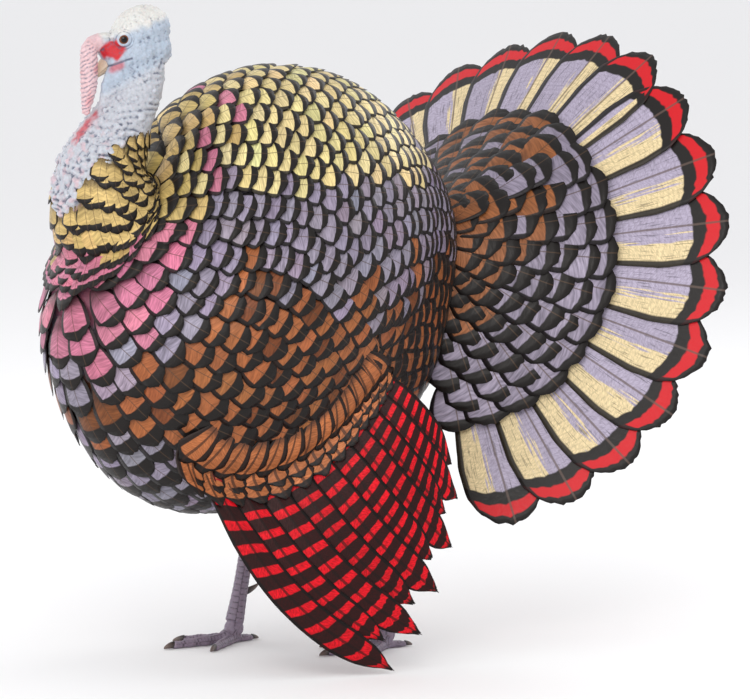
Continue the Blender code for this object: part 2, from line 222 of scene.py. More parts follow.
# Adds a node with its settings, its inputs and, on a colour ramp, its stops.
def addNode(tree, kind, inputs=None, stops=None, **settings):
    node = tree.nodes.new("ShaderNode" + kind)
    for name, value in settings.items():
        setattr(node, name, value)
    fill(tree, node, inputs or {})
    if stops:
        ramp = node.color_ramp
        for place, _ in stops[2:]:
            ramp.elements.new(place)
        for element, (place, colour) in zip(ramp.elements, stops):
            element.position, element.color = place, colour
    return node


# A new material with its node tree and its shader.
def newMaterial(name):
    material = bpy.data.materials.new(name)
    material.use_nodes = True
    tree = material.node_tree
    return material, tree, tree.nodes["Principled BSDF"]


# Feather vanes.

# Feathers as thin closed shells. Each has a shaft line with a cross direction and a normal along it.
# A point is: shaft + across * half width * u, lowered at the edges by the camber and u squared, raised in a
# narrow bell at the shaft, drawn back at the tip's corners, and half the thickness above or below that.
def vaneShells(shaft, across, normal, half, style, chance):
    count, rows, columns = *half.shape, style["columns"]
    u = np.linspace(-1, 1, columns)
    v = np.linspace(0, 1, rows)
    ahead = unit(np.gradient(shaft, axis=1))
    length = np.linalg.norm(np.diff(shaft, axis=1), axis=2).sum(1)[:, None, None]
    ragged = style["ragged"] * chance.normal(size=(count, 1, columns)) * v[None, :, None] ** 4
    uneven = 1 + style["ragged"] * 0.7 * chance.normal(size=(count, rows, columns)) * np.abs(u) ** 3
    side = half[:, :, None] * u * uneven
    back = length * (style["round"] * np.abs(u) ** 2.2 * v[:, None] ** 3 + np.maximum(ragged, -0.01))
    lift = -style["camber"] * half[:, :, None] * u**2
    lift = lift + style["shaftHeight"] * np.exp(-((u / 0.10) ** 2)) * (1 - 0.8 * v[:, None])
    middle = shaft[:, :, None] + across[:, :, None] * side[..., None] - ahead[:, :, None] * back[..., None]
    middle = middle + normal[:, :, None] * lift[..., None]
    wall = (style["thick"] * (1 - 0.7 * u**2) * (1 - 0.5 * v[:, None]))[None, :, :, None] * normal[:, :, None] / 2
    points = np.stack([middle + wall, middle - wall], axis=1)
    grid = np.arange(rows * columns).reshape(rows, columns)
    top = np.stack([grid[:-1, :-1], grid[:-1, 1:], grid[1:, 1:], grid[1:, :-1]], -1).reshape(-1, 4)
    ring = np.concatenate([grid[0, :-1], grid[:-1, -1], grid[-1, :0:-1], grid[:0:-1, 0]])
    under = rows * columns
    walls = np.stack([ring, ring + under, np.roll(ring, -1) + under, np.roll(ring, -1)], -1)
    quads = np.concatenate([top, top[:, ::-1] + under, walls])
    quads = (quads[None] + (np.arange(count) * 2 * under)[:, None, None]).reshape(-1, 4)
    vane = np.broadcast_to(np.stack(np.meshgrid((u + 1) / 2, v), -1), (count, 2, rows, columns, 2))
    return points.reshape(-1, 3), quads, vane.reshape(-1, 2)


# Spreads one value per feather over all the corners of its shell.
def perCorner(values, count, corners):
    return np.repeat(np.asarray(values, float), corners // count, axis=0)


# Makes a coat piece. Patches on the OFBake map sit at each feather's root place on the unwrap.
def makeCoat(name, shell, tint, places, patch, material, extra=None):
    points, quads, vane = shell
    count, corners = len(tint), len(points)
    size = np.broadcast_to(np.asarray(patch, float), (count, 2))
    corner = np.clip(places, size / 2, 1 - size / 2)
    bake = perCorner(corner, count, corners) + (vane - 0.5) * perCorner(size, count, corners)
    numbers = {"chance": perCorner(rng.uniform(0, 1, count), count, corners)}
    for label, value in (extra or {}).items():
        numbers[label] = perCorner(value, count, corners)
    return makePiece(name, points, quads, material, {"vane": vane, "OFBake": bake},
                     {"tint": perCorner(tint, count, corners)}, numbers)


# Width along a feather from named stops, from 0 to 1.
def profile(stops, rows):
    places, widths = zip(*stops)
    return np.interp(np.linspace(0, 1, rows), places, widths)


# Colours of the plumage.

plumage = {
    "gold": "#C0A569", "cream": "#DCC990", "rose": "#C2738B", "crimson": "#B92A3E",
    "lavender": "#8E8597", "copper": "#9A5A33", "bronze": "#703E1F", "brown": "#905731",
    "bar": "#120D0C", "tipBand": "#15100E", "down": "#2E2320",
    "flightRed": "#BE0D1B", "fanLavender": "#A39AAE", "fanCream": "#DAC69A", "fanRed": "#C8101C",
}
shades = {name: linear(code) for name, code in plumage.items()}

# Where the body's colours end. Turns are degrees round from the breast, heights are of a direction's upward share.
markings = {
    "borderTurns": (0, 15, 28, 40, 50, 56, 62, 75, 100, 130, 180),   # lavender above this line, copper below
    "borderHeights": (-0.40, -0.23, -0.07, 0.075, 0.25, 0.42, 0.30, 0.18, 0.08, 0.15, 0.25),
    "goldTurns": (26, 34), "goldHeights": (0.42, 0.32),               # gold above this line, round the neck's foot
    "roseTurn": 29, "roseHeights": (-0.08, 0.42), "creamTurn": 40, "creamHeight": 0.66, "creamEnd": 0.78,
    "bronzeChance": 0.22, "strayLavender": 0.26, "strayCopper": 0.20,
}


# The colour of each body feather from its direction out of the trunk and its row: lavender above a
# wandering line and copper below it, cream on the back, striped lanes behind the gold neck, rose on the breast.
# Also how much deeper its dark edge is, widest on the copper and the belly, where the extra dark is painted shade
# between the feathers.
def bodyTint(directions, rows, chance):
    x, y, z = directions.T
    jitter = 0.05 * chance.normal(size=len(y))
    around = np.degrees(np.arctan2(np.abs(x), -y)) + 60 * jitter
    border = np.interp(around, markings["borderTurns"], markings["borderHeights"])
    slant = z - border + jitter
    height = z + jitter
    colour = np.where((slant > 0)[:, None], shades["lavender"], shades["copper"])
    roll = chance.uniform(size=len(y))

    def paint(mask, name):
        colour[mask] = shades[name]

    paint((slant < 0) & (roll < markings["bronzeChance"]), "bronze")
    paint((slant > -0.12) & (slant < 0.04) & (roll > 1 - markings["strayLavender"]), "lavender")
    paint((slant > 0.02) & (slant < 0.26) & (y > -0.3) & (roll < markings["strayCopper"]), "copper")
    backLine = markings["creamHeight"] + np.where(y < 0, -0.30, -0.08) * y
    paint((height > backLine) & (around > markings["creamTurn"]) & (y < markings["creamEnd"]), "cream")
    goldLimit = 20 + 12 * (1 - z)
    stripe = (around > goldLimit) & (around < 38 + 41 * (z - 0.58)) & (z > 0.40)
    paint(stripe, "cream")
    paint(stripe & (rows % 3 == 0), "rose")
    paint(stripe & (rows % 3 == 0) & (roll < 0.25), "crimson")
    paint(stripe & (rows % 3 == 2) & (roll < 0.6), "gold")
    paint((around <= goldLimit) & (height > np.interp(around, markings["goldTurns"], markings["goldHeights"])), "gold")
    roseFoot, roseTop = markings["roseHeights"]
    paint((around < markings["roseTurn"]) & (height < roseTop) & (height > roseFoot), "rose")
    paint((height < -0.50) & (around < 38), "lavender")
    # painted shade: deeper dark edges on the copper and the belly stand for shade between the feathers
    deepen = 0.034 + 0.045 * smooth(0.10, -0.10, slant) + 0.05 * smooth(-0.25, -0.60, z)
    uneven = chance.uniform(0.86, 1.12, (len(y), 1))
    return colour * uneven * (1 + 0.04 * chance.normal(size=(len(y), 3))), deepen


# Keratin vanes with melanin: barbs slant from the shaft to the edge as fine lines, so the vane looks satin and
# combed. A dark band closes the tip, a dark margin runs round the edge, and the shaft shows as one thin line.
# The vane map gives u across the feather and v along it. Lengths in a look are shares of those.
def vaneMaterial(name, look):
    material, tree, shader = newMaterial(name)
    place = addNode(tree, "SeparateXYZ", {0: addNode(tree, "UVMap", uv_map="vane")})
    chance = addNode(tree, "Attribute", attribute_name="chance").outputs["Fac"]
    tint = addNode(tree, "Attribute", attribute_name="tint").outputs["Color"]
    dark = rgba(plumage["bar"])
    u, v = place.outputs[0], place.outputs[1]
    out = addNode(tree, "Math", {0: addNode(tree, "Math", {0: u, 1: 0.5}, operation="SUBTRACT")}, operation="ABSOLUTE")
    # barbs: noise drawn out along lines of v less the slant times the distance from the shaft
    slant = addNode(tree, "Math", {0: out, 1: -look["slant"], 2: v}, operation="MULTIPLY_ADD")
    shifted = addNode(tree, "Math", {0: chance, 1: 37.0}, operation="MULTIPLY")
    narrow = addNode(tree, "Math", {0: out, 1: 0.10}, operation="MULTIPLY")
    barbPlace = addNode(tree, "CombineXYZ", {0: slant, 1: narrow, 2: shifted})
    barbs = addNode(tree, "TexNoise", {"Vector": barbPlace, "Scale": look["barbs"], "Detail": 2.0, "Roughness": 0.6})
    cloud = addNode(tree, "TexNoise", {"Vector": barbPlace, "Scale": look["barbs"] * 0.12, "Detail": 1.0})
    # barb tone from the look's dark to light; on the flight feathers the light end is painted sheen
    tone = addNode(tree, "MapRange", {0: barbs, 1: 0.30, 2: 0.70, 3: look["dark"], 4: look["light"]})
    grey = addNode(tree, "CombineColor", {0: tone, 1: tone, 2: tone})
    colour = addNode(tree, "Mix", {0: 1.0, 6: tint, 7: grey}, data_type="RGBA", blend_type="MULTIPLY")

    # lays a colour over what is there, by an amount that goes from one value to another between two places
    def cover(place, low, high, before, after, over, **settings):
        nonlocal colour
        amount = addNode(tree, "MapRange", {0: place, 1: low, 2: high, 3: before, 4: after}, **settings)
        colour = addNode(tree, "Mix", {0: amount, 6: colour, 7: over}, data_type="RGBA")

    # a second, paler colour on one side, running into the first in long streaks
    if "second" in look:
        across = addNode(tree, "Math", {0: u, 1: 26.0}, operation="MULTIPLY")
        along = addNode(tree, "Math", {0: v, 1: 5.0}, operation="MULTIPLY")
        streakPlace = addNode(tree, "CombineXYZ", {0: across, 1: along, 2: shifted})
        streaks = addNode(tree, "TexNoise", {"Vector": streakPlace, "Scale": 1.0, "Detail": 2.0})
        centred = addNode(tree, "Math", {0: streaks, 1: 0.5}, operation="SUBTRACT")
        streaked = addNode(tree, "Math", {0: centred, 1: 0.55, 2: u}, operation="MULTIPLY_ADD")
        # where the next feather laps over this side, less of the paler colour is left
        lapped = addNode(tree, "Attribute", attribute_name="lapped").outputs["Fac"]
        streaked = addNode(tree, "Math", {0: lapped, 1: 0.20, 2: streaked}, operation="MULTIPLY_ADD")
        pale = rgba(look["second"])
        second = addNode(tree, "Mix", {0: 1.0, 6: pale, 7: grey}, data_type="RGBA", blend_type="MULTIPLY")
        cover(streaked, 0.65, 0.68, 0.0, 1.0, second)
        dashes = addNode(tree, "TexNoise", {"Vector": streakPlace, "Scale": 2.4, "Detail": 1.0})
        cover(dashes, 0.60, 0.68, 0.0, 0.5, dark)
    # downy, darker root
    cover(v, look["root"] * 0.3, look["root"], 0.72, 0.0, rgba(look["down"]), interpolation_type="SMOOTHSTEP")
    # deepen widens the dark tip band and margin; on the copper and the belly the extra dark is painted shade between
    # feathers
    deepen = addNode(tree, "Attribute", attribute_name="deepen").outputs["Fac"]
    deepened = addNode(tree, "Math", {0: v, 1: deepen}, operation="ADD")
    wander = addNode(tree, "Math", {0: cloud, 1: look["wander"], 2: deepened}, operation="MULTIPLY_ADD")
    # cross bars: dark where the counted distance along the feather is near a whole number
    if "bars" in look:
        phased = addNode(tree, "Math", {0: chance, 1: look.get("phase", 0.0), 2: wander}, operation="MULTIPLY_ADD")
        cycle = addNode(tree, "Math", {0: phased, 1: look["bars"]}, operation="MULTIPLY")
        part = addNode(tree, "Math", {0: cycle}, operation="FRACT")
        wave = addNode(tree, "Math", {0: part, 1: 0.5}, operation="SUBTRACT")
        away = addNode(tree, "Math", {0: wave}, operation="ABSOLUTE")
        cover(away, look["barWidth"], look["barWidth"] + look["barSoft"], look["barDepth"], 0.0, dark)
    # bands along the feather: start, end, colour
    for low, high, code in look["bands"]:
        rise = addNode(tree, "MapRange", {0: wander, 1: low, 2: low + look["bandSoft"], 3: 0.0, 4: 1.0})
        fall = addNode(tree, "MapRange", {0: wander, 1: high, 2: high + look["bandSoft"], 3: 1.0, 4: 0.0})
        both = addNode(tree, "Math", {0: rise, 1: fall}, operation="MULTIPLY")
        colour = addNode(tree, "Mix", {0: both, 6: colour, 7: rgba(code)}, data_type="RGBA")
    rim = addNode(tree, "Math", {0: deepen, 1: 0.6, 2: out}, operation="MULTIPLY_ADD")
    cover(rim, look["edge"], look["edge"] + 0.02, 0.0, 0.97, dark)
    cover(out, look["shaft"], look["shaft"] + 0.012, 0.75, 0.0, rgba(look["quill"]))
    gloss = addNode(tree, "MapRange", {0: barbs, 1: 0.3, 2: 0.7, 3: look["rough"] + 0.10, 4: look["rough"] - 0.08})
    bump = addNode(tree, "Bump", {"Strength": look["bump"], "Distance": 0.0006, "Height": barbs})
    fill(tree, shader, {"Base Color": colour, "Roughness": gloss, "Normal": bump, "Metallic": look["metal"],
                        "Sheen Weight": 0.03, "Sheen Roughness": 0.4, "Specular IOR Level": look.get("specular", 0.28)})
    return material


# "barbs" counts lines along a vane: 26 on a 50 mm body feather is one in 2 mm, much coarser than a real bird's
# few tenths, because finer ones don't show. A little metal gives the bronze gleam of the body feathers.
contourLook = {
    "slant": 0.35, "barbs": 26.0, "dark": 0.60, "light": 1.25, "root": 0.50, "down": plumage["down"], "wander": 0.06,
    "bands": ((0.825, 1.2, plumage["tipBand"]),), "bandSoft": 0.022, "edge": 0.405, "shaft": 0.006, "quill": "#4A3728",
    "rough": 0.42, "bump": 0.5, "metal": 0.12,
}
contourVane = vaneMaterial("contourFeatherVane", contourLook)
# Neck feathers: shorter, so fewer barbs, softer and more open.
neckVane = vaneMaterial("neckFeatherVane", {
    **contourLook, "barbs": 14.0, "bands": ((0.82, 1.2, plumage["tipBand"]),), "edge": 0.40})
# Flight feathers: stiff and matt, with close barbs and even dark bars, and no metallic gleam; the pale end of their
# barb streaks, up to 1.45 times the tint, is painted sheen.
flightVane = vaneMaterial("flightFeatherVane", {
    **contourLook, "slant": 0.16, "barbs": 120.0, "root": 0.13, "bars": 11.0, "barWidth": 0.285, "barSoft": 0.045,
    "barDepth": 0.97, "wander": 0.014, "bands": ((0.962, 1.2, plumage["tipBand"]),), "phase": 0.055, "specular": 0.15,
    "edge": 0.395, "shaft": 0.036, "quill": "#1C0D0C", "metal": 0.0, "dark": 0.60, "light": 1.45})
# Tail feathers: the same stiff vane, two colours side by side with faint fine bars, a dark band and a red one.
tailVane = vaneMaterial("tailFeatherVane", {
    **contourLook, "slant": 0.22, "barbs": 240.0, "bump": 0.25, "root": 0.05, "second": plumage["fanCream"],
    "bars": 46.0, "barWidth": 0.05, "barSoft": 0.14, "barDepth": 0.12, "wander": 0.016, "specular": 0.3,
    "bands": ((0.874, 1.3, plumage["tipBand"]), (0.922, 0.972, plumage["fanRed"])), "bandSoft": 0.006,
    "edge": 0.412, "shaft": 0.008, "quill": "#5B4A42", "metal": 0.0, "dark": 0.78, "light": 1.25})
# The wing's hanging coverts: the same vane as the body's, dark all round its margin, which is made wide as painted
# shade between the hanging coverts.
covertVane = vaneMaterial("covertFeatherVane", {
    **contourLook, "barbs": 40.0, "bands": ((0.86, 1.2, plumage["tipBand"]),), "edge": 0.300,
    "root": 0.30, "light": 1.4, "shaft": 0.040, "quill": "#2C1A12"})
print("materials of the vanes made")


# Skin, eyes, bill and claws.

# A smooth curve through points: each span is the cubic of a Catmull-Rom spline.
def curve(points, count):
    points = np.asarray(points, float)
    padded = np.concatenate([2 * points[:1] - points[1:2], points, 2 * points[-1:] - points[-2:-1]])
    place = np.linspace(0, len(points) - 1, count)
    span = np.minimum(place.astype(int), len(points) - 2)
    f = (place - span)[:, None]
    p0, p1, p2, p3 = (padded[span + k] for k in range(4))
    return 0.5 * (2 * p1 + (p2 - p0) * f + (2 * p0 - 5 * p1 + 4 * p2 - p3) * f**2 + (3 * p1 - p0 - 3 * p2 + p3) * f**3)


# A tube: a smooth line through the points, with the radius running as smoothly through its own values.
def makeTube(points, radii, count=40):
    line = curve(np.column_stack([np.asarray(points, float), radii]), count)
    length = np.linalg.norm(np.diff(line[:, :3], axis=0), axis=1).sum()
    return {"path": line[:, :3], "radii": np.maximum(line[:, 3], 0.0004), "length": length}


# Equal steps round a full turn, in radians.
def circle(count):
    return np.linspace(0, 2 * math.pi, count, endpoint=False)


# A point on a tube: its axis plus (radius + out) times a turning direction; turn 0 faces forward.
def tubePoint(tube, s, turn, out):
    places = np.linspace(0, 1, len(tube["path"]))
    along = np.gradient(tube["path"], axis=0)
    at = np.stack([np.interp(s, places, tube["path"][:, k]) for k in range(3)], -1)
    tangent = unit(np.stack([np.interp(s, places, along[:, k]) for k in range(3)], -1))
    tangent = tangent * np.where(tangent[..., 2:] < 0, -1, 1) if tube.get("upright", True) else tangent
    left = unit(np.array([1.0, 0, 0]) - tangent * tangent[..., :1])
    front = np.cross(left, tangent)
    radius = np.interp(s, places, tube["radii"]) + out
    return at + (np.sin(turn)[..., None] * left + np.cos(turn)[..., None] * front) * radius[..., None]


# Corners and faces of a closed grid: rings of points between two poles.
def closeGrid(rings, first, last):
    count, sides = rings.shape[:2]
    index = np.arange(count * sides).reshape(count, sides)
    after = np.roll(index, -1, axis=1)
    quads = np.stack([index[:-1], after[:-1], after[1:], index[1:]], -1).reshape(-1, 4)
    start, end = count * sides, count * sides + 1
    startCap = np.stack([np.full(sides, start), after[0], index[0]], -1)
    endCap = np.stack([np.full(sides, end), index[-1], after[-1]], -1)
    points = np.concatenate([rings.reshape(-1, 3), [first, last]])
    return points, quads.tolist() + startCap.tolist() + endCap.tolist()


# A closed tube: its points over the share of its length and the turn round it, with a pole at each end.
def tubeShell(tube, sides):
    s, turn = np.meshgrid(np.linspace(0, 1, len(tube["path"])), circle(sides), indexing="ij")
    return closeGrid(tubePoint(tube, s, turn, 0 * s), tube["path"][0], tube["path"][-1])


# Directions over a ball from two angles, without its poles: (sin a cos b, sin a sin b, cos a).
def ballGrid(steps):
    a, b = np.meshgrid(np.linspace(0, math.pi, steps + 1)[1:-1], circle(2 * steps), indexing="ij")
    return np.stack([np.sin(a) * np.cos(b), np.sin(a) * np.sin(b), np.cos(a)], -1)


# A ball: centre + axes * direction * half sizes.
def ballShell(centre, halfSizes, axes=np.eye(3), steps=18):
    pole = np.array([0, 0, 1.0]) * halfSizes
    centre = np.asarray(centre, float)
    return closeGrid((ballGrid(steps) * halfSizes) @ axes.T + centre, axes @ pole + centre, centre - axes @ pole)


# Small balls at the given places, each of its own size.
def beads(spots, sizes):
    return [ballShell(spot, np.full(3, size), steps=6) for spot, size in zip(spots, sizes)]


# A ring round an axis: a small circle carried round a larger one, which may be stretched to an oval.
def ringShell(centre, axes, major, minor, stretch):
    a, b = np.meshgrid(circle(40), circle(14), indexing="ij")
    reachOut = major + minor * np.cos(b)
    grid = np.stack([minor * np.sin(b), reachOut * np.cos(a) * stretch[0], reachOut * np.sin(a) * stretch[1]], -1)
    index = np.arange(a.size).reshape(a.shape)
    nextRing = np.roll(index, -1, 0)
    quads = np.stack([index, nextRing, np.roll(nextRing, -1, 1), np.roll(index, -1, 1)], -1)
    return (grid @ axes.T + centre).reshape(-1, 3), quads.reshape(-1, 4).tolist()


# A mesh from corners and faces of any number of sides.
def meshFrom(points, faces):
    mesh = bpy.data.meshes.new("shell")
    mesh.from_pydata(np.asarray(points).tolist(), [], faces)
    mesh.update()
    return mesh


# A mesh's corners and its normals at them.
def meshArrays(mesh):
    points = np.empty(len(mesh.vertices) * 3)
    mesh.vertices.foreach_get("co", points)
    normals = np.empty(len(mesh.vertices) * 3)
    mesh.vertex_normals.foreach_get("vector", normals)
    return points.reshape(-1, 3), normals.reshape(-1, 3)


# Overlapping shells made one: remade as even faces of one size, then relaxed.
def mergeShells(shells, faceSize, relax):
    points, faces, before = [], [], 0
    for corners, polygons in shells:
        points.append(corners)
        faces += [[index + before for index in polygon] for polygon in polygons]
        before += len(corners)
    piece = putIn("shell", meshFrom(np.concatenate(points), faces))
    remesh = piece.modifiers.new("even", "REMESH")
    remesh.mode, remesh.voxel_size, remesh.adaptivity = "VOXEL", faceSize, 0
    relaxing = piece.modifiers.new("relax", "SMOOTH")
    relaxing.factor, relaxing.iterations = 0.5, relax
    return finished(piece)


# Moves each corner along its normal by its own distance.
def displace(mesh, shift):
    points, normals = meshArrays(mesh)
    mesh.vertices.foreach_set("co", (points + normals * shift[:, None]).ravel())
    mesh.update()


neck = {
    "path": ((0, -0.165, 0.560), (0, -0.206, 0.620), (0, -0.218, 0.680),
             (0, -0.188, 0.740), (0, -0.154, 0.800), (0, -0.152, 0.845)),
    "radii": (0.084, 0.079, 0.060, 0.0425, 0.0315, 0.0240),
    "ruffBack": 0.734, "ruffDip": 0.108, "ruffSpread": 0.85,   # height of the feathers' line, its dip in front
    "fold": 0.0105, "foldDepth": 0.0011,
    "nodules": 170, "noduleSizes": (0.0020, 0.0040), "noduleReach": (-0.004, 0.125), "swollen": 0.0045,
}
neckTube = makeTube(neck["path"], neck["radii"])


# The bare neck ends on a line that is level behind and dips in front by a bell curve of the turning angle.
def ruffTop(turn):
    turned = (turn + math.pi) % (2 * math.pi) - math.pi
    return neck["ruffBack"] - neck["ruffDip"] * np.exp(-((turned / neck["ruffSpread"]) ** 2))


# The share along a tube at which its surface, in each turning direction, stands at the wanted height.
def surfaceShare(tube, turn, height):
    s = np.linspace(0, 1, 240)
    size = (len(turn), len(s))
    grid = tubePoint(tube, np.broadcast_to(s, size), np.broadcast_to(turn[:, None], size), 0)
    return s[np.abs(grid[..., 2] - height[:, None]).argmin(1)]


# How far outside the neck a place is: the distance to its nearest middle point, less the radius there.
def neckGap(points):
    apart = np.linalg.norm(points[:, None] - neckTube["path"][None], axis=2)
    return apart.min(1) - neckTube["radii"][apart.argmin(1)]


head = {
    "centre": np.array([0, -0.163, 0.855]), "yaw": -24, "nod": 27,
    "eye": {"place": (0.0168, -0.0170, 0.0095), "radius": 0.0095},
    # place and half sizes: skull, snout, nape, chin, forehead
    "forms": (((0, 0.010, 0.006), (0.0280, 0.042, 0.0345)), ((0, -0.024, -0.003), (0.0195, 0.031, 0.0235)),
              ((0, 0.020, -0.018), (0.0228, 0.021, 0.029)), ((0, -0.018, -0.025), (0.0150, 0.030, 0.0130)),
              ((0, -0.038, 0.010), (0.0125, 0.018, 0.0125))),
    # cheeks and brows, one on each side
    "pairs": (((0.0165, -0.003, -0.016), (0.0125, 0.025, 0.0180)),
              ((0.0165, -0.018, 0.0195), (0.0080, 0.0155, 0.0055))),
    "dewlap": ((0, -0.200, 0.770), (0.0075, 0.022, 0.050)), "throat": ((0, -0.186, 0.812), (0.0150, 0.022, 0.030)),
    "snood": ((0.000, -0.034, 0.0140), (0.004, -0.051, 0.0200), (0.0110, -0.064, 0.0170), (0.0175, -0.073, 0.0020),
              (0.0220, -0.088, -0.0245), (0.0225, -0.1065, -0.0520)),
    "snoodRadii": (0.0130, 0.0122, 0.0116, 0.0120, 0.0112, 0.0058),
    "lid": {"side": 0.0216, "radius": 0.0078, "thickness": 0.0030, "stretch": (1.12, 0.86)},
    # count, gap, least and most radius
    "lobes": (34, 0.0085, 0.0038, 0.0060), "nodules": (230, 0.0036, 0.0011, 0.0021),
    "coarse": 0.0032, "fine": 0.0013,   # face sizes of the base form and of the finished head
}
headTurn = np.array(Matrix.Rotation(math.radians(head["yaw"]), 3, "Z")
                    @ Matrix.Rotation(math.radians(head["nod"]), 3, "X"))


# From the head's own frame, bill towards -Y, to the bird's.
def fromHead(local):
    return head["centre"] + np.asarray(local, float) @ headTurn.T


# From the bird's frame to the head's own.
def toHead(points):
    return (points - head["centre"]) @ headTurn


# How far a place is from the eye's middle, seen from the side.
def eyeDistance(local):
    return np.hypot(local[:, 1] - head["eye"]["place"][1], local[:, 2] - head["eye"]["place"][2])


# A ball in the head's own frame, given as a place in that frame and its half sizes.
def headBall(place, halfSizes):
    return ballShell(fromHead(place), halfSizes, headTurn)


# The head's large forms and the neck are merged coarsely and relaxed, so that they flow together.
def headForms():
    forms = [headBall(*form) for form in head["forms"]] + [tubeShell(neckTube, 64)]
    forms += [headBall((side * x, y, z), halfSizes) for (x, y, z), halfSizes in head["pairs"] for side in (1, -1)]
    forms += [ballShell(*head["dewlap"]), ballShell(*head["throat"])]
    return mergeShells(forms, head["coarse"], 9)


headBase = headForms()
basePoints, baseNormals = meshArrays(headBase)
baseLocal = toHead(basePoints)


# Chance corners of the base form, none nearer to another than the gap.
def scatter(mask, count, gap, chance):
    chosen = []
    for index in chance.permutation(np.flatnonzero(mask)):
        if len(chosen) == count:
            break
        if not chosen or np.linalg.norm(basePoints[chosen] - basePoints[index], axis=1).min() > gap:
            chosen.append(index)
    return np.array(chosen)


# Snood, lids, folded lobes behind the cheek and fine nodules, all grown into the base form.
def headShell():
    shells = [(basePoints, [list(polygon.vertices) for polygon in headBase.polygons])]
    snood = makeTube(fromHead(head["snood"]), head["snoodRadii"], 48)
    snood["upright"] = False
    shells += [tubeShell(snood, 20), ballShell(snood["path"][-1], np.full(3, head["snoodRadii"][-1]))]
    lid = head["lid"]
    for side in (1, -1):
        place = fromHead((side * lid["side"], *head["eye"]["place"][1:]))
        shells.append(ringShell(place, headTurn, lid["radius"], lid["thickness"], lid["stretch"]))
    chance = np.random.default_rng(5)
    onHead = baseLocal[:, 2] > -0.060
    besideEye = eyeDistance(baseLocal) > 0.015
    regions = ((head["lobes"], onHead & (baseLocal[:, 2] < 0.010) & (baseLocal[:, 1] > 0.002), 0.50),
               (head["nodules"], onHead & besideEye & (baseLocal[:, 1] > -0.034), 0.25))
    for (count, gap, least, most), mask, sunk in regions:
        chosen = scatter(mask, count, gap, chance)
        size = chance.uniform(least, most, len(chosen))
        shells += beads(basePoints[chosen] - baseNormals[chosen] * (size * sunk)[:, None], size)
    # the neck's nodules, larger near the line where its feathers begin, and none under the snood's tip
    count = neck["nodules"]
    turn = chance.normal(0, 0.9, count)
    top = ruffTop(turn)
    height = top + chance.uniform(*neck["noduleReach"], count)
    size = chance.uniform(*neck["noduleSizes"], count)
    size = size + neck["swollen"] * (height < top + 0.040) * chance.uniform(0, 1, count)
    spots = tubePoint(neckTube, surfaceShare(neckTube, turn, height), turn, -size * 0.15)
    clear = np.linalg.norm(spots - snood["path"][-1], axis=1) > 0.020
    shells += beads(spots[clear], size[clear])
    return mergeShells(shells, head["fine"], 2)


snoodLine = curve(head["snood"], 60)
snoodThin = 0.0112 - np.interp(np.linspace(0, 5, 60), range(6), head["snoodRadii"])


# The distance from the snood's line, lengthened where the snood is thin.
def besideSnood(local):
    return (np.linalg.norm(local[:, None] - snoodLine[None], axis=2) + snoodThin).min(1)


# How far a place is from the line of the mouth's corner, which runs back under the eye.
def gapeDistance(local):
    line = np.abs(local[:, 2] + 0.0150 + 0.16 * (local[:, 1] + 0.04))
    return line + np.where((local[:, 1] > -0.018) | (local[:, 1] < -0.062) | (np.abs(local[:, 0]) < 0.006), 0.01, 0)


# How far the head's skin stands out or in: sine folds across the neck and the snood, rings round the lids,
# smooth noise everywhere else, and a bell-shaped pit for the ear and groove for the mouth's corner.
def headRelief(points):
    local = toHead(points)
    eyeApart = np.where(np.abs(local[:, 0]) > 0.012, eyeDistance(local), 0.1)
    folds = np.sin(2 * math.pi * (points[:, 2] / neck["fold"] + 0.9 * waves(points, 0.06, 3)))
    onNeck = smooth(0.030, 0.060, -local[:, 2] + 0.2 * local[:, 1])
    onSnood = smooth(0.016, 0.0135, besideSnood(local)) * smooth(-0.050, -0.062, local[:, 1])
    shift = neck["foldDepth"] * folds * onNeck * (0.5 + 0.5 * waves(points, 0.05, 4))
    shift = shift + 0.00055 * np.sin(2 * math.pi * local[:, 2] / 0.0052 + 2 * waves(points, 0.02, 7)) * onSnood
    onLids = smooth(0.018, 0.011, eyeApart) * smooth(0.0085, 0.0105, eyeApart)
    shift = shift + 0.0004 * np.cos(2 * math.pi * eyeApart / 0.0030) * onLids
    pebbles = 0.0005 * waves(points, 0.010, 5) * (1 - onSnood) + 0.00022 * waves(points, 0.0045, 6)
    shift = shift + pebbles * smooth(0.008, 0.016, eyeApart)
    ear = np.hypot(local[:, 1] - 0.014, local[:, 2] + 0.004) + 0.02 * (np.abs(local[:, 0]) < 0.012)
    shift = shift - 0.0022 * np.exp(-((ear / 0.0035) ** 2))
    return shift - 0.0013 * np.exp(-((gapeDistance(local) / 0.0013) ** 2)) * (1 - onSnood)


headMesh = headShell()
displace(headMesh, headRelief(meshArrays(headMesh)[0]))
print("head and neck", len(headMesh.polygons), "faces")

legs = {
    "left": {"side": 1, "hip": (0.078, 0.110, 0.310), "hock": (0.082, 0.222, 0.168),
             "ankle": (0.082, 0.190, 0.016)},
    "right": {"side": -1, "hip": (-0.078, 0.020, 0.290), "hock": (-0.080, 0.078, 0.172),
              "ankle": (-0.080, 0.046, 0.016)},
    "thighRadii": (0.070, 0.055, 0.024), "shankRadii": (0.0125, 0.0145, 0.0108, 0.0104, 0.0130),
    # name, degrees from straight ahead, length, radius
    "toes": (("inner", 37, 0.066, 0.0078), ("middle", 2, 0.094, 0.0085), ("outer", -36, 0.072, 0.0078),
             ("hind", 176, 0.030, 0.0066)),
    "toeTaper": (1, 0.88, 0.66), "toeHeight": 0.70, "joint": 0.024,
    "clawLength": 0.017, "hindClaw": 0.75, "spurDown": 0.105, "spurLength": 0.024, "spurRadius": 0.0052,
    "scuteSpacing": 0.0062, "scuteDepth": 0.0007, "faceSize": 0.0014,
}


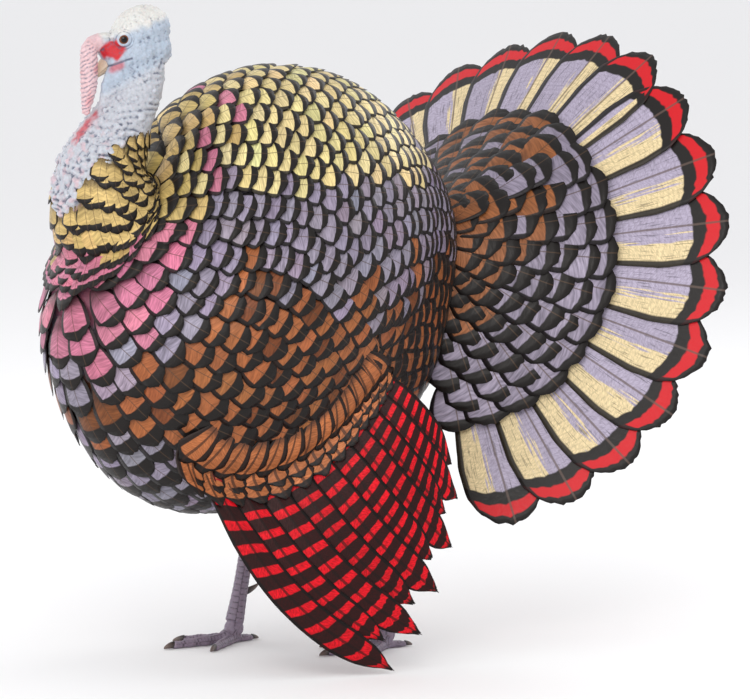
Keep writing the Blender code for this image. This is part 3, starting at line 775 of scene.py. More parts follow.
# Straight runs of a leg: shank and toes, each from its start to its end, with the toes' headings.
def legRuns(leg):
    hock, ankle = np.array(leg["hock"]), np.array(leg["ankle"])
    down = unit(ankle - hock)
    steps = (-0.030, -0.002, 0.035, 0.095)
    shank = np.array([hock + down * step for step in steps] + [ankle + (0, 0.002, 0.0135)])
    toes = []
    for name, degrees, length, radius in legs["toes"]:
        turn = -math.radians(degrees) * leg["side"]
        ahead = np.array([-math.sin(turn), -math.cos(turn), 0])
        toes.append((name, np.array([ankle[0], ankle[1], 0]), ahead, length, radius))
    return shank, toes, down


# Shank and toes as tubes with balls at their joints. A toe's radius tapers along it and swells as a cosine
# at each joint, and its middle line lies at a share of that radius above the ground.
def legShell(leg):
    shank, toes, _ = legRuns(leg)
    ankle = np.array(leg["ankle"])
    shells = [tubeShell(makeTube(shank, legs["shankRadii"], 60), 28), ballShell(shank[1], (0.0150, 0.0165, 0.0175)),
              ballShell(ankle + (0, 0.001, 0.004), (0.0125, 0.0140, 0.0130)),
              ballShell(ankle + (0, -0.008, -0.006), (0.0125, 0.0150, 0.0095))]
    share = np.linspace(0, 1, 40)
    taper = np.interp(share, (0, 0.5, 1), legs["toeTaper"])
    for _, start, ahead, length, radius in toes:
        size = taper * (1 + 0.09 * np.cos(2 * math.pi * share * (length / legs["joint"])))
        path = start + ahead * (length * share)[:, None]
        path[:, 2] = legs["toeHeight"] * radius * taper
        a, _ = np.meshgrid(circle(20), share)
        side = np.cross(ahead, (0, 0, 1))
        turned = np.cos(a)[..., None] * side + np.sin(a)[..., None] * np.array([0, 0, 1.0])
        shells.append(closeGrid(path[:, None] + (radius * size)[:, None, None] * turned, path[0], path[-1]))
        shells.append(ballShell(path[-1], np.full(3, radius * size[-1])))
    return mergeShells(shells, legs["faceSize"], 3)


# Scutes: plates in staggered columns round each run, raised in the middle and grooved between. A plate is
# 1 less a high power of the distance from its middle, the lower of that along the run and that round it.
def scuteRelief(points, leg):
    shank, toes, _ = legRuns(leg)
    runs = [(shank[1], unit(shank[-1] - shank[1]), np.linalg.norm(shank[-1] - shank[1]), 1.35)]
    runs += [(start + (0, 0, 0.006), ahead, length, 0.85) for _, start, ahead, length, _ in toes]
    best, relief = np.full(len(points), 9.0), np.zeros(len(points))
    for start, ahead, length, scale in runs:
        offset = points - start
        along = np.clip(offset @ ahead, 0, length)
        away = offset - along[:, None] * ahead
        distance = np.linalg.norm(away, axis=1)
        side = unit(np.cross(ahead, (1.0, 0.02, 0)) if abs(ahead[2]) > 0.5 else np.cross(ahead, (0, 0, 1.0)))
        around = np.arctan2(away @ np.cross(ahead, side), away @ side) / (math.pi / 3)
        column = np.floor(around)
        step = along / (legs["scuteSpacing"] * scale) + 0.5 * (column % 2)
        plate = np.minimum(1 - np.abs(2 * (step % 1) - 1) ** 4, 1 - np.abs(2 * (around % 1) - 1) ** 6)
        nearer = distance < best
        best, relief = np.where(nearer, distance, best), np.where(nearer, plate, relief)
    return relief


legMeshes = {}
for side in ("left", "right"):
    mesh = legShell(legs[side])
    points, _ = meshArrays(mesh)
    displace(mesh, legs["scuteDepth"] * (scuteRelief(points, legs[side]) - 0.6) * smooth(0.004, 0.009, points[:, 2]))
    points, _ = meshArrays(mesh)
    points[:, 2] = np.maximum(points[:, 2], 0.0002)
    mesh.vertices.foreach_set("co", points.ravel())
    legMeshes[side] = mesh
    print(side, "leg", len(mesh.polygons), "faces")

thighTubes = {}
for side in ("left", "right"):
    hip, hock = np.array(legs[side]["hip"]), np.array(legs[side]["hock"])
    knee = (hip + hock) / 2 + (0, -0.006, 0.004)
    thighTubes[side] = makeTube((hip, knee, hock), np.array(legs["thighRadii"]) - 0.009)


# The trunk under its feathers: the coat drawn in by the feathers' depth, with the neck's foot and thighs.
def bodyShell():
    poles = np.array([[0, 0, 1.0], [0, 0, -1.0]])

    def inner(directions):
        radius = trunkRadius(directions) + 0.7 * wingBulge(directions)[0] - 0.012
        return trunk["centre"] + directions * radius[..., None]

    shells = [closeGrid(inner(ballGrid(60)), *inner(poles))]
    shells.append(tubeShell(makeTube(neck["path"][:3], np.array(neck["radii"][:3]) - 0.006), 40))
    shells += [tubeShell(thighTubes[side], 32) for side in ("left", "right")]
    return mergeShells(shells, 0.0085, 6)


# One skin: the body with the head and both legs joined to it by exact unions.
def joinSkin():
    body = putIn("skin", bodyShell())
    limbs = [putIn("limb", mesh) for mesh in (headMesh, *legMeshes.values())]
    for limb in limbs:
        union = body.modifiers.new("join", "BOOLEAN")
        union.operation, union.solver, union.object = "UNION", "EXACT", limb
    return finished(body, *limbs)


# The same mesh with fewer faces where it is flat, mostly under the coat; its numbers and colours go with it.
def thinOut(mesh, share):
    rough = putIn("rough", mesh)
    thinning = rough.modifiers.new("thin", "DECIMATE")
    thinning.decimate_type, thinning.ratio = "COLLAPSE", share
    return finished(rough)


# creaseShade is painted shade, laid into the skin's folds and the mouth's groove
skinColours = {name: linear(code) for name, code in {
    "crown": "#CFCECA", "face": "#A7B3C2", "neck": "#B5B8C0", "throat": "#B92B3A", "red": "#BE0F1E",
    "snood": "#D2B2B6", "nodule": "#C9A3AA", "creaseShade": "#4F566B", "leg": "#857788"}.items()}


# How hollow the surface is at each corner: the mean of its neighbours stands out along the normal in a fold. It places
# the painted shade in the skin's folds and the painted highlight on its swellings.
def hollowness(mesh):
    points, normals = meshArrays(mesh)
    edges = np.empty(len(mesh.edges) * 2, dtype=np.int32)
    mesh.edges.foreach_get("vertices", edges)
    first, second = edges.reshape(-1, 2).T

    def neighbourMean(values):
        total = np.zeros_like(values)
        np.add.at(total, first, values[second])
        np.add.at(total, second, values[first])
        return total / counts

    counts = np.bincount(edges, minlength=len(points)).astype(float)[:, None]
    size = np.linalg.norm(points[first] - points[second], axis=1).mean()
    hollow = ((neighbourMean(points) - points) * normals).sum(1, keepdims=True) / size
    for _ in range(2):
        hollow = 0.5 * hollow + 0.5 * neighbourMean(hollow)
    return hollow[:, 0]


# Skin colours by place: white crown, pale blue face and neck, red patches before the eye and at the throat. Under the
# coat the skin is the plumage's colour at 0.45, painted shade in the gaps between feathers; folds get painted shade and
# swellings a painted highlight.
def skinTint(points, hollow):
    local = toHead(points)
    direction = unit(points - trunk["centre"])
    # painted shade: under the feathers the skin is the plumage's colour darkened to 0.45
    colour = bodyTint(direction, np.zeros(len(points), int), np.random.default_rng(2))[0] * 0.45
    turned = np.arctan2(points[:, 0], -(points[:, 1] + 0.200))
    bare = smooth(-0.014, 0.0, points[:, 2] - ruffTop(turned)) * (points[:, 1] < -0.06)

    def blend(name, amount):
        nonlocal colour
        colour = colour * (1 - amount[:, None]) + skinColours[name] * amount[:, None]

    blend("neck", bare)
    mottle = waves(points, 0.016, 8)
    blend("nodule", bare * smooth(0.1, 0.8, mottle) * 0.55 * smooth(-0.20, -0.26, points[:, 1]))
    onHead = bare * smooth(-0.050, -0.036, local[:, 2])
    blend("face", onHead)
    blend("crown", onHead * smooth(0.008, 0.020, local[:, 2] + 0.15 * local[:, 1] + 0.003 * mottle))
    patch = smooth(0.0150, 0.0105, np.hypot((local[:, 1] + 0.036) / 1.30, local[:, 2] - 0.003) + 0.003 * mottle)
    onSide = smooth(0.004, 0.009, np.abs(local[:, 0]))
    blend("red", onHead * patch * onSide * smooth(0.0088, 0.0100, eyeDistance(local)))
    jowl = np.hypot((local[:, 1] + 0.042) / 1.7, local[:, 2] + 0.019)
    blend("throat", bare * smooth(0.009, 0.003, jowl + 0.002 * mottle) * 0.7)
    streak = np.hypot(points[:, 0], (points[:, 2] - 0.738) / 1.7)
    blend("throat", bare * smooth(0.016, 0.006, streak + 0.005 * mottle) * (points[:, 1] < -0.19) * 0.85)
    besides = besideSnood(local)
    onSnood = bare * smooth(0.016, 0.0135, besides)
    blend("snood", onSnood * smooth(-0.038, -0.046, local[:, 1]) * smooth(0.5, 0.2, patch))
    blend("red", onSnood * smooth(-0.052, -0.060, local[:, 1]) * 0.35 * smooth(0.2, 0.8, waves(points, 0.03, 9)))
    # painted shade: darker in the neck's folds and in the groove at the mouth's corner
    blend("creaseShade", bare * smooth(0.008, 0.075, hollow) * 0.82)
    blend("creaseShade", bare * smooth(0.0022, 0.0008, gapeDistance(local)) * 0.7 * smooth(0.0135, 0.017, besides))
    # painted highlight: up to a tenth brighter where the skin swells out
    colour = colour * (1 + 0.10 * bare * smooth(-0.02, -0.12, hollow))[:, None]
    low = (points[:, 2] < 0.212) & (points[:, 1] > -0.10)
    colour[low] = skinColours["leg"]
    return colour, low


# Bare skin and leg scutes: satin and a little translucent, finely pored, mottled paler and darker at about 4 mm,
# with painted shade in the grooves between the scutes. The tint is laid on by place.
def skinMaterial():
    material, tree, shader = newMaterial("bareSkinAndScutes")
    tint = addNode(tree, "Attribute", attribute_name="tint").outputs["Color"]
    relief = addNode(tree, "Attribute", attribute_name="relief").outputs["Fac"]
    place = addNode(tree, "TexCoord").outputs["Object"]
    mottle = addNode(tree, "TexNoise", {"Vector": place, "Scale": 260.0, "Detail": 3.0})
    pores = addNode(tree, "TexVoronoi", {"Vector": place, "Scale": 900.0})
    tone = addNode(tree, "MapRange", {0: mottle, 1: 0.3, 2: 0.7, 3: 0.86, 4: 1.08})
    grey = addNode(tree, "CombineColor", {0: tone, 1: tone, 2: tone})
    colour = addNode(tree, "Mix", {0: 1.0, 6: tint, 7: grey}, data_type="RGBA", blend_type="MULTIPLY")
    # painted shade: the relief number darkens the grooves between the scutes
    colour = addNode(tree, "Mix", {0: relief, 6: colour, 7: rgba("#2C2430")}, data_type="RGBA")
    rough = addNode(tree, "MapRange", {0: mottle, 1: 0.3, 2: 0.7, 3: 0.40, 4: 0.58})
    bump = addNode(tree, "Bump", {"Strength": 0.35, "Distance": 0.0005, "Height": pores})
    fill(tree, shader, {"Base Color": colour, "Roughness": rough, "Normal": bump, "Subsurface Weight": 0.12,
                        "Subsurface Radius": (0.9, 0.35, 0.25), "Subsurface Scale": 0.004})
    return material


whole = joinSkin()
points, _ = meshArrays(whole)
tint, low = skinTint(points, hollowness(whole))
# relief: painted shade for the legs, up to 0.92 in the grooves between scutes and 0 on their middles
relief = np.zeros(len(points))
for side in ("left", "right"):
    near = low & (points[:, 0] * legs[side]["side"] > 0)
    relief[near] = smooth(0.66, 0.08, scuteRelief(points[near], legs[side])) * 0.92
addColour(whole, "tint", tint)
addNumber(whole, "relief", relief)
whole.vertices.foreach_set("co", (points + standing).ravel())
whole.materials.clear()
whole.materials.append(skinMaterial())
whole = thinOut(whole, 0.62)
whole.shade_smooth()
skin = putIn("skin", whole)
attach(skin, "root")
limbNodes = [f"{part}_{side}" for part in ("thigh", "shank", "foot") for side in ("left", "right")]
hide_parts("trunk", "neck_base", "neck_upper", "head", "snood", *limbNodes)
print("skin", len(whole.polygons), "faces")


# Solid keratin, worn smooth: a satin sheen under a thin polish, with fine streaks and a dark root that pales
# towards the tip.
def hornMaterial(name, pale, dark, rough):
    material, tree, shader = newMaterial(name)
    place = addNode(tree, "TexCoord").outputs["Object"]
    along = addNode(tree, "Attribute", attribute_name="along").outputs["Fac"]
    streaks = addNode(tree, "TexNoise", {"Vector": place, "Scale": 420.0, "Detail": 3.0})
    start = addNode(tree, "Math", {0: along, 1: 0.18}, operation="SUBTRACT")
    mix = addNode(tree, "Math", {0: streaks, 1: 0.35, 2: start}, operation="MULTIPLY_ADD")
    colour = addNode(tree, "ValToRGB", {0: mix}, stops=((0.10, rgba(dark)), (0.62, rgba(pale))))
    bump = addNode(tree, "Bump", {"Strength": 0.2, "Distance": 0.0004, "Height": streaks})
    fill(tree, shader, {"Base Color": colour, "Normal": bump, "Roughness": rough, "Coat Weight": 0.15})
    return material


# The bill is horn-pale and faintly pink. The claws and spurs are dark.
billHorn = hornMaterial("billHorn", "#D9C3A8", "#A78F8C", 0.38)
clawHorn = hornMaterial("clawHorn", "#655650", "#1F1A1C", 0.42)
bill = {"width": 0.0135, "upper": (0.058, 0.0165), "lower": (0.050, 0.0090), "hook": 0.0035}


# Half a flattened ball drawn out forwards: it narrows with reach^1.5, droops with reach^3 and hooks at the tip.
def billHalf(upper):
    length, rise = bill["upper"] if upper else bill["lower"]
    a, b = np.meshgrid(np.linspace(0, math.pi, 61)[1:-1], circle(56), indexing="ij")

    def place(a, b):
        share = (1 - np.cos(a)) / 2
        along = length * share
        taper = 1 - (0.60 if upper else 0.52) * share**1.5
        across, high = np.sin(a) * np.cos(b), np.sin(a) * np.sin(b)
        ridge = 1 - 0.22 * np.abs(across) ** 1.5 if upper else 1.0
        high = np.where((high > 0) == upper, high * rise * ridge, high * 0.0008)
        droop = -0.012 * (along / 0.058) ** 3 - (bill["hook"] * share**7 if upper else 0)
        # the nostril, a bell-shaped pit in each side
        nostril = np.exp(-(((along - 0.017) / 0.0042) ** 2) - (((high - rise * 0.45) / 0.0022) ** 2))
        x = across * bill["width"] * taper - np.sign(across) * (0.0016 * nostril if upper else 0)
        return np.stack([x, -0.026 - along, high * taper + droop - 0.014 + (0.0004 if upper else -0.0004)], -1)

    poles = [fromHead(place(np.array(end), np.array(0.0))) for end in (0.0, math.pi)]
    points, faces = closeGrid(fromHead(place(a, b)), *poles)
    share = np.concatenate([((1 - np.cos(a)) / 2).ravel(), [0, 1]])
    return points, faces, share


# One object from corners and faces, its normals turned outwards, with the distance along it at each corner.
def plainPiece(name, points, faces, material, along):
    mesh = meshFrom(points + standing, faces)
    addNumber(mesh, "along", along)
    maker = bmesh.new()
    maker.from_mesh(mesh)
    bmesh.ops.recalc_face_normals(maker, faces=maker.faces)
    maker.to_mesh(mesh)
    maker.free()
    mesh.shade_smooth()
    mesh.materials.append(material)
    piece = putIn(name, mesh)
    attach(piece, "root")
    return piece


for name, upper in (("billUpper", True), ("billLower", False)):
    points, faces, share = billHalf(upper)
    piece = plainPiece(name, points, faces, billHorn, share)
    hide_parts("bill_upper" if upper else "bill_lower")


# The wet ball of the eye: a mirror-smooth cornea over a brown iris with fine flecks, a black pupil and a dark rim.
def eyeMaterial():
    material, tree, shader = newMaterial("wetEye")
    along = addNode(tree, "Attribute", attribute_name="along").outputs["Fac"]
    place = addNode(tree, "TexCoord").outputs["Object"]
    flecks = addNode(tree, "TexNoise", {"Vector": place, "Scale": 1500.0, "Detail": 2.0})
    ring = addNode(tree, "Math", {0: flecks, 1: 0.05, 2: along}, operation="MULTIPLY_ADD")
    stops = ((0.0, "#010101"), (0.285, "#010101"), (0.305, "#5A3018"), (0.42, "#7A4524"),
             (0.50, "#1D100A"), (0.60, "#2A1C18"))
    colour = addNode(tree, "ValToRGB", {0: ring}, stops=[(place, rgba(code)) for place, code in stops])
    fill(tree, shader, {"Base Color": colour, "Roughness": 0.08, "Specular IOR Level": 0.30})
    return material


wetEye = eyeMaterial()
for side, sign in (("left", 1), ("right", -1)):
    place = np.array(head["eye"]["place"]) * (sign, 1, 1)
    turned = headTurn @ np.array([[0, 0, 1.0], [0, 1, 0], [1, 0, 0]]).T
    points, faces = ballShell(fromHead(place), np.full(3, head["eye"]["radius"]), turned, 24)
    outward = np.arccos(np.clip(unit(points - fromHead(place)) @ headTurn[:, 0] * sign, -1, 1)) / (math.pi / 2)
    piece = plainPiece(side + "Eye", points, faces, wetEye, outward * 0.9)
    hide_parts(f"eye_{side}")


# A claw or spur: an oval cone along a line that bends by the square of its share, its radius falling as the
# root of 1 - share^1.3, closed at both ends.
def thornShell(start, ahead, length, radius, bend):
    share = np.linspace(0, 1, 14)
    path = start + ahead * (length * share)[:, None] + np.array([0, 0, 1.0]) * (bend * share**2)[:, None]
    size = radius * np.sqrt(np.clip(1 - share**1.3, 0, 1))[:, None, None]
    a = circle(14)
    side = unit(np.cross(ahead, (0.01, 0, 1.0)))
    over = np.cross(side, ahead)
    rings = path[:, None] + size * (np.cos(a)[None, :, None] * side * 0.8 + np.sin(a)[None, :, None] * over)
    along = np.concatenate([np.repeat(share[:-1], 14), [0, 1]])
    return *closeGrid(rings[:-1], path[0] - ahead * 0.002, path[-1]), along


for side in ("left", "right"):
    _, toes, down = legRuns(legs[side])
    for name, start, ahead, length, radius in toes:
        clawLength = legs["clawLength"] * (legs["hindClaw"] if name == "hind" else 1)
        rootHeight = legs["toeHeight"] * radius * legs["toeTaper"][-1] + 0.0012
        root = start + ahead * (length + radius * 0.30) + (0, 0, rootHeight)
        points, faces, share = thornShell(root, ahead, clawLength, radius * 0.60, 0.0014 - root[2])
        points[:, 2] = np.maximum(points[:, 2], 0.0004)
        piece = plainPiece(f"claw{side.capitalize()}{name.capitalize()}", points, faces, clawHorn, share)
        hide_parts(f"claw_{side}_{name}")
    root = np.array(legs[side]["hock"]) + down * legs["spurDown"] + (0, 0.0085, 0)
    backward = unit(np.array([0, 0.0200, 0.0030]))
    points, faces, share = thornShell(root, backward, legs["spurLength"], legs["spurRadius"], 0.006)
    piece = plainPiece(f"spur{side.capitalize()}", points, faces, clawHorn, share)
    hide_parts(f"spur_{side}")
print("skin, eyes, bill and claws made")


# Body feathers.

bodyFeathers = {
    "neckPole": unit(np.array([0.0, -0.200, 0.135])), "tailPole": unit(np.array([0.0, 0.335, 0.030])),
    "rows": 29, "ratios": (0.16, 7.5), "spacing": 0.036, "overlap": 2.15, "spread": 1.42, "lengths": (0.030, 0.088),
    "rootDepth": 0.009, "tipRise": 0.0015, "roll": 0.085, "patch": (0.026, 0.036),
    "style": {"columns": 9, "thick": 0.0007, "camber": 0.10, "round": 0.20, "ragged": 0.022, "shaftHeight": 0.0006},
    "shape": ((0, 0.16), (0.12, 0.42), (0.3, 0.74), (0.5, 0.94), (0.68, 1.0), (0.85, 0.98), (1.0, 0.80)),
}


# Places for a row of feathers, as shares of the way round: equal steps, half a step on in every other row,
# each with a little chance.
def staggered(count, row, chance):
    return (np.arange(count) + 0.5 * (row % 2) + rng.normal(0, chance, count)) / count


# A ring of the body's coat: all directions whose distances to the two poles have the ratio k.
def ringDirections(k, turn):
    neck, tail = bodyFeathers["neckPole"], bodyFeathers["tailPole"]
    axis = neck[None] - (k**2)[:, None] * tail[None]
    size = np.linalg.norm(axis, axis=1)
    cosine = (1 - k**2) / size
    axis = axis / size[:, None]
    sideways = np.array([1.0, 0, 0])
    upright = np.cross(axis, sideways)
    sine = np.sqrt(np.clip(1 - cosine**2, 0, 1))
    around = np.cos(turn)[:, None] * upright + np.sin(turn)[:, None] * sideways
    return unit(cosine[:, None] * axis + sine[:, None] * around)


# Rings are equal steps along the body's side; feathers sit at equal steps round each ring, staggered.
def layBodyFeathers():
    settings = bodyFeathers
    logs = np.linspace(*np.log(settings["ratios"]), 500)
    line = coatPoint(ringDirections(np.exp(logs), np.full(len(logs), math.pi / 2)))
    walked = np.concatenate([[0], np.cumsum(np.linalg.norm(np.diff(line, axis=0), axis=1))])
    ratios = np.exp(np.interp(np.linspace(0, walked[-1], settings["rows"] + 1), walked, logs))
    found = []
    turn = np.linspace(0, 2 * math.pi, 721)
    for row in range(settings["rows"]):
        ring = coatPoint(ringDirections(np.full(len(turn), ratios[row]), turn))
        lengths = np.concatenate([[0], np.cumsum(np.linalg.norm(np.diff(ring, axis=0), axis=1))])
        count = max(8, round(lengths[-1] / settings["spacing"]))
        turns = np.interp(staggered(count, row, 0.05) % 1 * lengths[-1], lengths, turn)
        here = ringDirections(np.full(count, ratios[row]), turns)
        ahead = ringDirections(np.full(count, ratios[row + 1]), turns)
        gap = np.linalg.norm(coatPoint(ahead) - coatPoint(here), axis=1)
        found.append(np.column_stack([here, gap, np.full(count, lengths[-1] / count), np.full(count, row)]))
    return np.concatenate(found)


# Away from the neck's pole and towards the tail's; on the wings it turns down along the flight feathers.
def bodyFlow(directions, normals):
    settings = bodyFeathers
    neck, tail = settings["neckPole"], settings["tailPole"]
    flow = tail / (1.0001 - directions @ tail)[:, None] - neck / (1.0001 - directions @ neck)[:, None]
    flow = unit(flow - normals * (flow * normals).sum(1, keepdims=True))
    share = wingBulge(directions)[1]
    sign = np.sign(directions[:, 0])
    target = np.stack([sign * 0.25, 0.26 + 0 * sign, 0.16 + 0 * sign], 1) - coatPoint(directions)
    target = unit(target - normals * (target * normals).sum(1, keepdims=True))
    mix = smooth(1.05, 0.55, share) * smooth(0.55, -0.15, directions[:, 2]) * 0.75
    return unit(flow * (1 - mix[:, None]) + target * mix[:, None])


# A feather laid on the coat: each point is pressed onto the body and raised by its own height.
def coatVanes(directions, flow, length, width, settings, rows=8):
    normal = coatNormal(directions)
    flow = unit(flow - normal * (flow * normal).sum(1, keepdims=True))
    cross = np.cross(flow, normal)
    v = np.linspace(0, 1, rows)
    shaft = coatPoint(directions)[:, None] + flow[:, None] * (length[:, None] * v)[..., None]
    across = np.broadcast_to(cross[:, None], shaft.shape)
    up = np.broadcast_to(normal[:, None], shaft.shape)
    half = width[:, None] / 2 * profile(settings["shape"], rows)
    points, quads, vane = vaneShells(shaft, across, up, half, settings["style"], rng)
    points, vanePlace = points.reshape(len(directions), -1, 3), vane.reshape(len(directions), -1, 2)
    offset = ((points - shaft[:, :1]) * normal[:, None]).sum(-1)
    flat = points - normal[:, None] * offset[..., None]
    toward = unit(flat - trunk["centre"])
    side, along = vanePlace[..., 0] - 0.5, vanePlace[..., 1]
    roll = settings["roll"] * np.sign(directions[:, 0] + 1e-6)[:, None] * side * width[:, None]
    height = settings["tipRise"] - settings["rootDepth"] * (1 - along) ** 1.3 + roll
    final = trunk["centre"] + toward * (coatRadius(toward) + offset + height)[..., None]
    return final.reshape(-1, 3), quads, vane


# A place on the unwrap of half the trunk: the angle round the side axis, and the distance from that axis.
def trunkUnwrap(directions, facing):
    return np.stack([np.arctan2(directions[:, 2], directions[:, 1] * facing) / math.pi + 0.5,
                     np.arccos(np.clip(directions[:, 0], -1, 1)) / math.pi], 1)


# Feathers whose roots lie under the neck are kept where their outer halves come out of it.
laid = layBodyFeathers()
starts = coatPoint(laid[:, :3])
onward = starts + 0.030 * bodyFlow(laid[:, :3], coatNormal(laid[:, :3]))
laid = laid[(neckGap(starts) > -0.006) | (neckGap(onward) > -0.006)]
headings, gaps, widths, rowNumbers = laid[:, :3], laid[:, 3], laid[:, 4], laid[:, 5].astype(int)
normals = coatNormal(headings)
flows = bodyFlow(headings, normals)
turnAside = rng.normal(0, 0.07, len(laid))
flows = unit(flows + np.cross(flows, normals) * turnAside[:, None])
tints, deepens = bodyTint(headings, rowNumbers, rng)
lengths = np.clip(gaps * bodyFeathers["overlap"], *bodyFeathers["lengths"]) * rng.uniform(0.93, 1.07, len(laid))
starts = coatPoint(headings)
tucked = 0.032 * smooth(0.034, 0.010, neckGap(starts))   # beside the neck, roots reach back under its feathers
lengths = lengths + tucked
headings = unit(starts - flows * tucked[:, None] - trunk["centre"])
broad = np.clip(widths, 0.016, 0.05) * bodyFeathers["spread"] * rng.uniform(0.95, 1.05, len(laid))
print("body feathers", len(laid))
behind = headings[:, 1] >= -0.02
for name, chosen, facing in (("breastFeathersLeft", ~behind & (headings[:, 0] > 0), -1),
                             ("breastFeathersRight", ~behind & (headings[:, 0] <= 0), -1),
                             ("rumpFeathersLeft", behind & (headings[:, 0] > 0), 1),
                             ("rumpFeathersRight", behind & (headings[:, 0] <= 0), 1)):
    shell = coatVanes(headings[chosen], flows[chosen], lengths[chosen], broad[chosen], bodyFeathers)
    places = trunkUnwrap(headings[chosen], facing) * (1, 2) % 1.0001
    piece = makeCoat(name, shell, tints[chosen], places, bodyFeathers["patch"], contourVane,
                     {"deepen": deepens[chosen]})


# A vane's cross direction and normal from its shaft and a line beside it, both turned to face outward.
def vaneFrame(shaft, cross, outward):
    normal = unit(np.cross(cross, unit(np.gradient(shaft, axis=1))))
    flip = np.sign((normal * outward).sum(-1, keepdims=True))
    return cross * flip, normal * flip, flip


# Feathers along a tube: each shaft runs on from its root by shares of its length, on the tube's surface
# raised from the root's depth to the tip's rise. face is -1 towards the tube's start and 1 towards its end.
def tubeVanes(tube, roots, turns, length, width, settings, face, onCoat):
    rows = 8
    v = np.linspace(0, 1, rows)
    s = roots[:, None] + face * length[:, None] * v / tube["length"]
    turn = np.broadcast_to(turns[:, None], s.shape)
    height = settings["tipRise"] + 0.004 * v - settings["rootDepth"] * (1 - v) ** 1.3
    shaft = rest(tubePoint(tube, s, turn, height + 0 * s), height, onCoat)
    after = rest(tubePoint(tube, s, turn + 0.05, height + 0 * s), height, onCoat)
    outward = unit(tubePoint(tube, s, turn, 0.02 + 0 * s) - tubePoint(tube, s, turn, 0 * s))
    cross, normal, _ = vaneFrame(shaft, unit(after - shaft), outward)
    half = width[:, None] / 2 * profile(settings["shape"], rows)
    return vaneShells(shaft, cross, normal, half, settings["style"], rng)


# Keeps points at least their own height outside the body's coat.
def rest(points, height, onCoat):
    if not onCoat:
        return points
    offset = points - trunk["centre"]
    distance = np.linalg.norm(offset, axis=-1)
    direction = offset / distance[..., None]
    return trunk["centre"] + direction * np.maximum(distance, coatRadius(direction) + height)[..., None]


ruff = {
    "rows": 16, "gap": 0.0118, "around": 20, "length": 0.038, "overlap": 1.60, "tipRise": 0.001, "rootDepth": 0.002,
    "goldHeight": 0.625, "shape": bodyFeathers["shape"],
    "style": {**bodyFeathers["style"], "camber": 0.16, "thick": 0.0006},
}


# The ruff's roots: rows below the line where the bare neck ends, kept where they stand outside the body's coat.
def layRuff():
    found = []
    for row in range(ruff["rows"]):
        turn = staggered(ruff["around"], row, 0.07) * 2 * math.pi
        found.append(np.column_stack([turn, ruffTop(turn) - ruff["gap"] * row]))
    turn, height = np.concatenate(found).T
    share = surfaceShare(neckTube, turn, height)
    offset = tubePoint(neckTube, share, turn, 0 * share) - trunk["centre"]
    distance = np.linalg.norm(offset, axis=1)
    kept = (share > 0.01) & (distance > coatRadius(offset / distance[:, None]) - 0.003)
    return np.column_stack([turn, height, share])[kept]


turns, heights, roots = layRuff().T
grow = np.clip((ruffTop(turns) - heights) / 0.06, 0, 1)
ruffLengths = ruff["length"] * (0.62 + 0.55 * grow) * rng.uniform(0.92, 1.08, len(turns))
girth = 2 * math.pi * np.interp(roots, np.linspace(0, 1, len(neckTube["radii"])), neckTube["radii"])
shell = tubeVanes(neckTube, roots, turns, ruffLengths, girth / ruff["around"] * ruff["overlap"], ruff, -1, True)
# The body's own colours at feathers' roots on a tube, with the deepening of their dark edges.
def tubeTint(tube, roots, turns):
    directions = unit(tubePoint(tube, roots, turns, 0 * roots) - trunk["centre"])
    return bodyTint(directions, np.zeros(len(turns), int), rng)


tints, _ = tubeTint(neckTube, roots, turns)
golden = shades["gold"] * rng.uniform(0.86, 1.12, (len(turns), 1))
tints = np.where((heights > ruff["goldHeight"])[:, None], golden, tints)
places = np.stack([turns / (2 * math.pi) % 1, (heights - 0.53) / 0.20], 1)
piece = makeCoat("neckRuffFeathers", shell, tints, places, (0.030, 0.05), neckVane)

thighFeathers = {
    "rows": 11, "spacing": 0.030, "length": 0.050, "overlap": 1.5, "tipRise": 0.0, "rootDepth": 0.006,
    "shape": bodyFeathers["shape"], "style": {**bodyFeathers["style"], "camber": 0.20},
}
for side in ("left", "right"):
    tube = thighTubes[side]
    found = []
    for row in range(thighFeathers["rows"]):
        s = 0.10 + 0.87 * (row / (thighFeathers["rows"] - 1)) ** 0.9
        radius = np.interp(s, np.linspace(0, 1, len(tube["radii"])), tube["radii"])
        girth = 2 * math.pi * (radius + 0.01)
        count = max(7, round(girth / thighFeathers["spacing"]))
        turn = staggered(count, row, 0.08) * 2 * math.pi
        found.append(np.column_stack([turn, np.full(count, s), np.full(count, girth / count)]))
    turns, roots, spacing = np.concatenate(found).T
    size = 0.55 + 0.45 * np.clip((0.95 - roots) / 0.5, 0, 1)
    shell = tubeVanes(tube, roots, turns, thighFeathers["length"] * size, spacing * thighFeathers["overlap"],
                      thighFeathers, 1, False)
    tints, deepens = tubeTint(tube, roots, turns)
    places = np.stack([turns / (2 * math.pi) % 1, (roots - 0.08) / 0.9], 1)
    piece = makeCoat(side + "ThighFeathers", shell, tints, places, (0.045, 0.06), contourVane,
                     {"deepen": deepens * 0.25})
print("feathers of the neck and thighs made")


# Tail fan.

fan = {
    "centre": np.array([0.006, 0.335, 0.528]), "yaw": 25.5, "lean": 34, "roll": 40, "spread": 120,
    "sweep": 0.34, "sweepPower": 1.6, "root": 0.030, "radius": 0.413, "feathers": 18, "width": 0.112, "tilt": 0.045,
    "style": {"columns": 21, "thick": 0.0010, "camber": 0.03, "round": 0.085, "ragged": 0.003, "shaftHeight": 0.0012},
    "shape": ((0, 0.10), (0.15, 0.20), (0.35, 0.46), (0.6, 0.80), (0.78, 1.0), (0.92, 1.0), (1.0, 0.84)),
}


# The fan's up, left and front directions: a lean back, then a turn, as rotation matrices.
def fanAxes():
    turn = Matrix.Rotation(math.radians(fan["yaw"]), 3, "Z") @ Matrix.Rotation(-math.radians(fan["lean"]), 3, "X")
    return [np.array(turn @ Vector(v)) for v in ((0, 0, 1), (1, 0, 0), (0, -1, 0))]


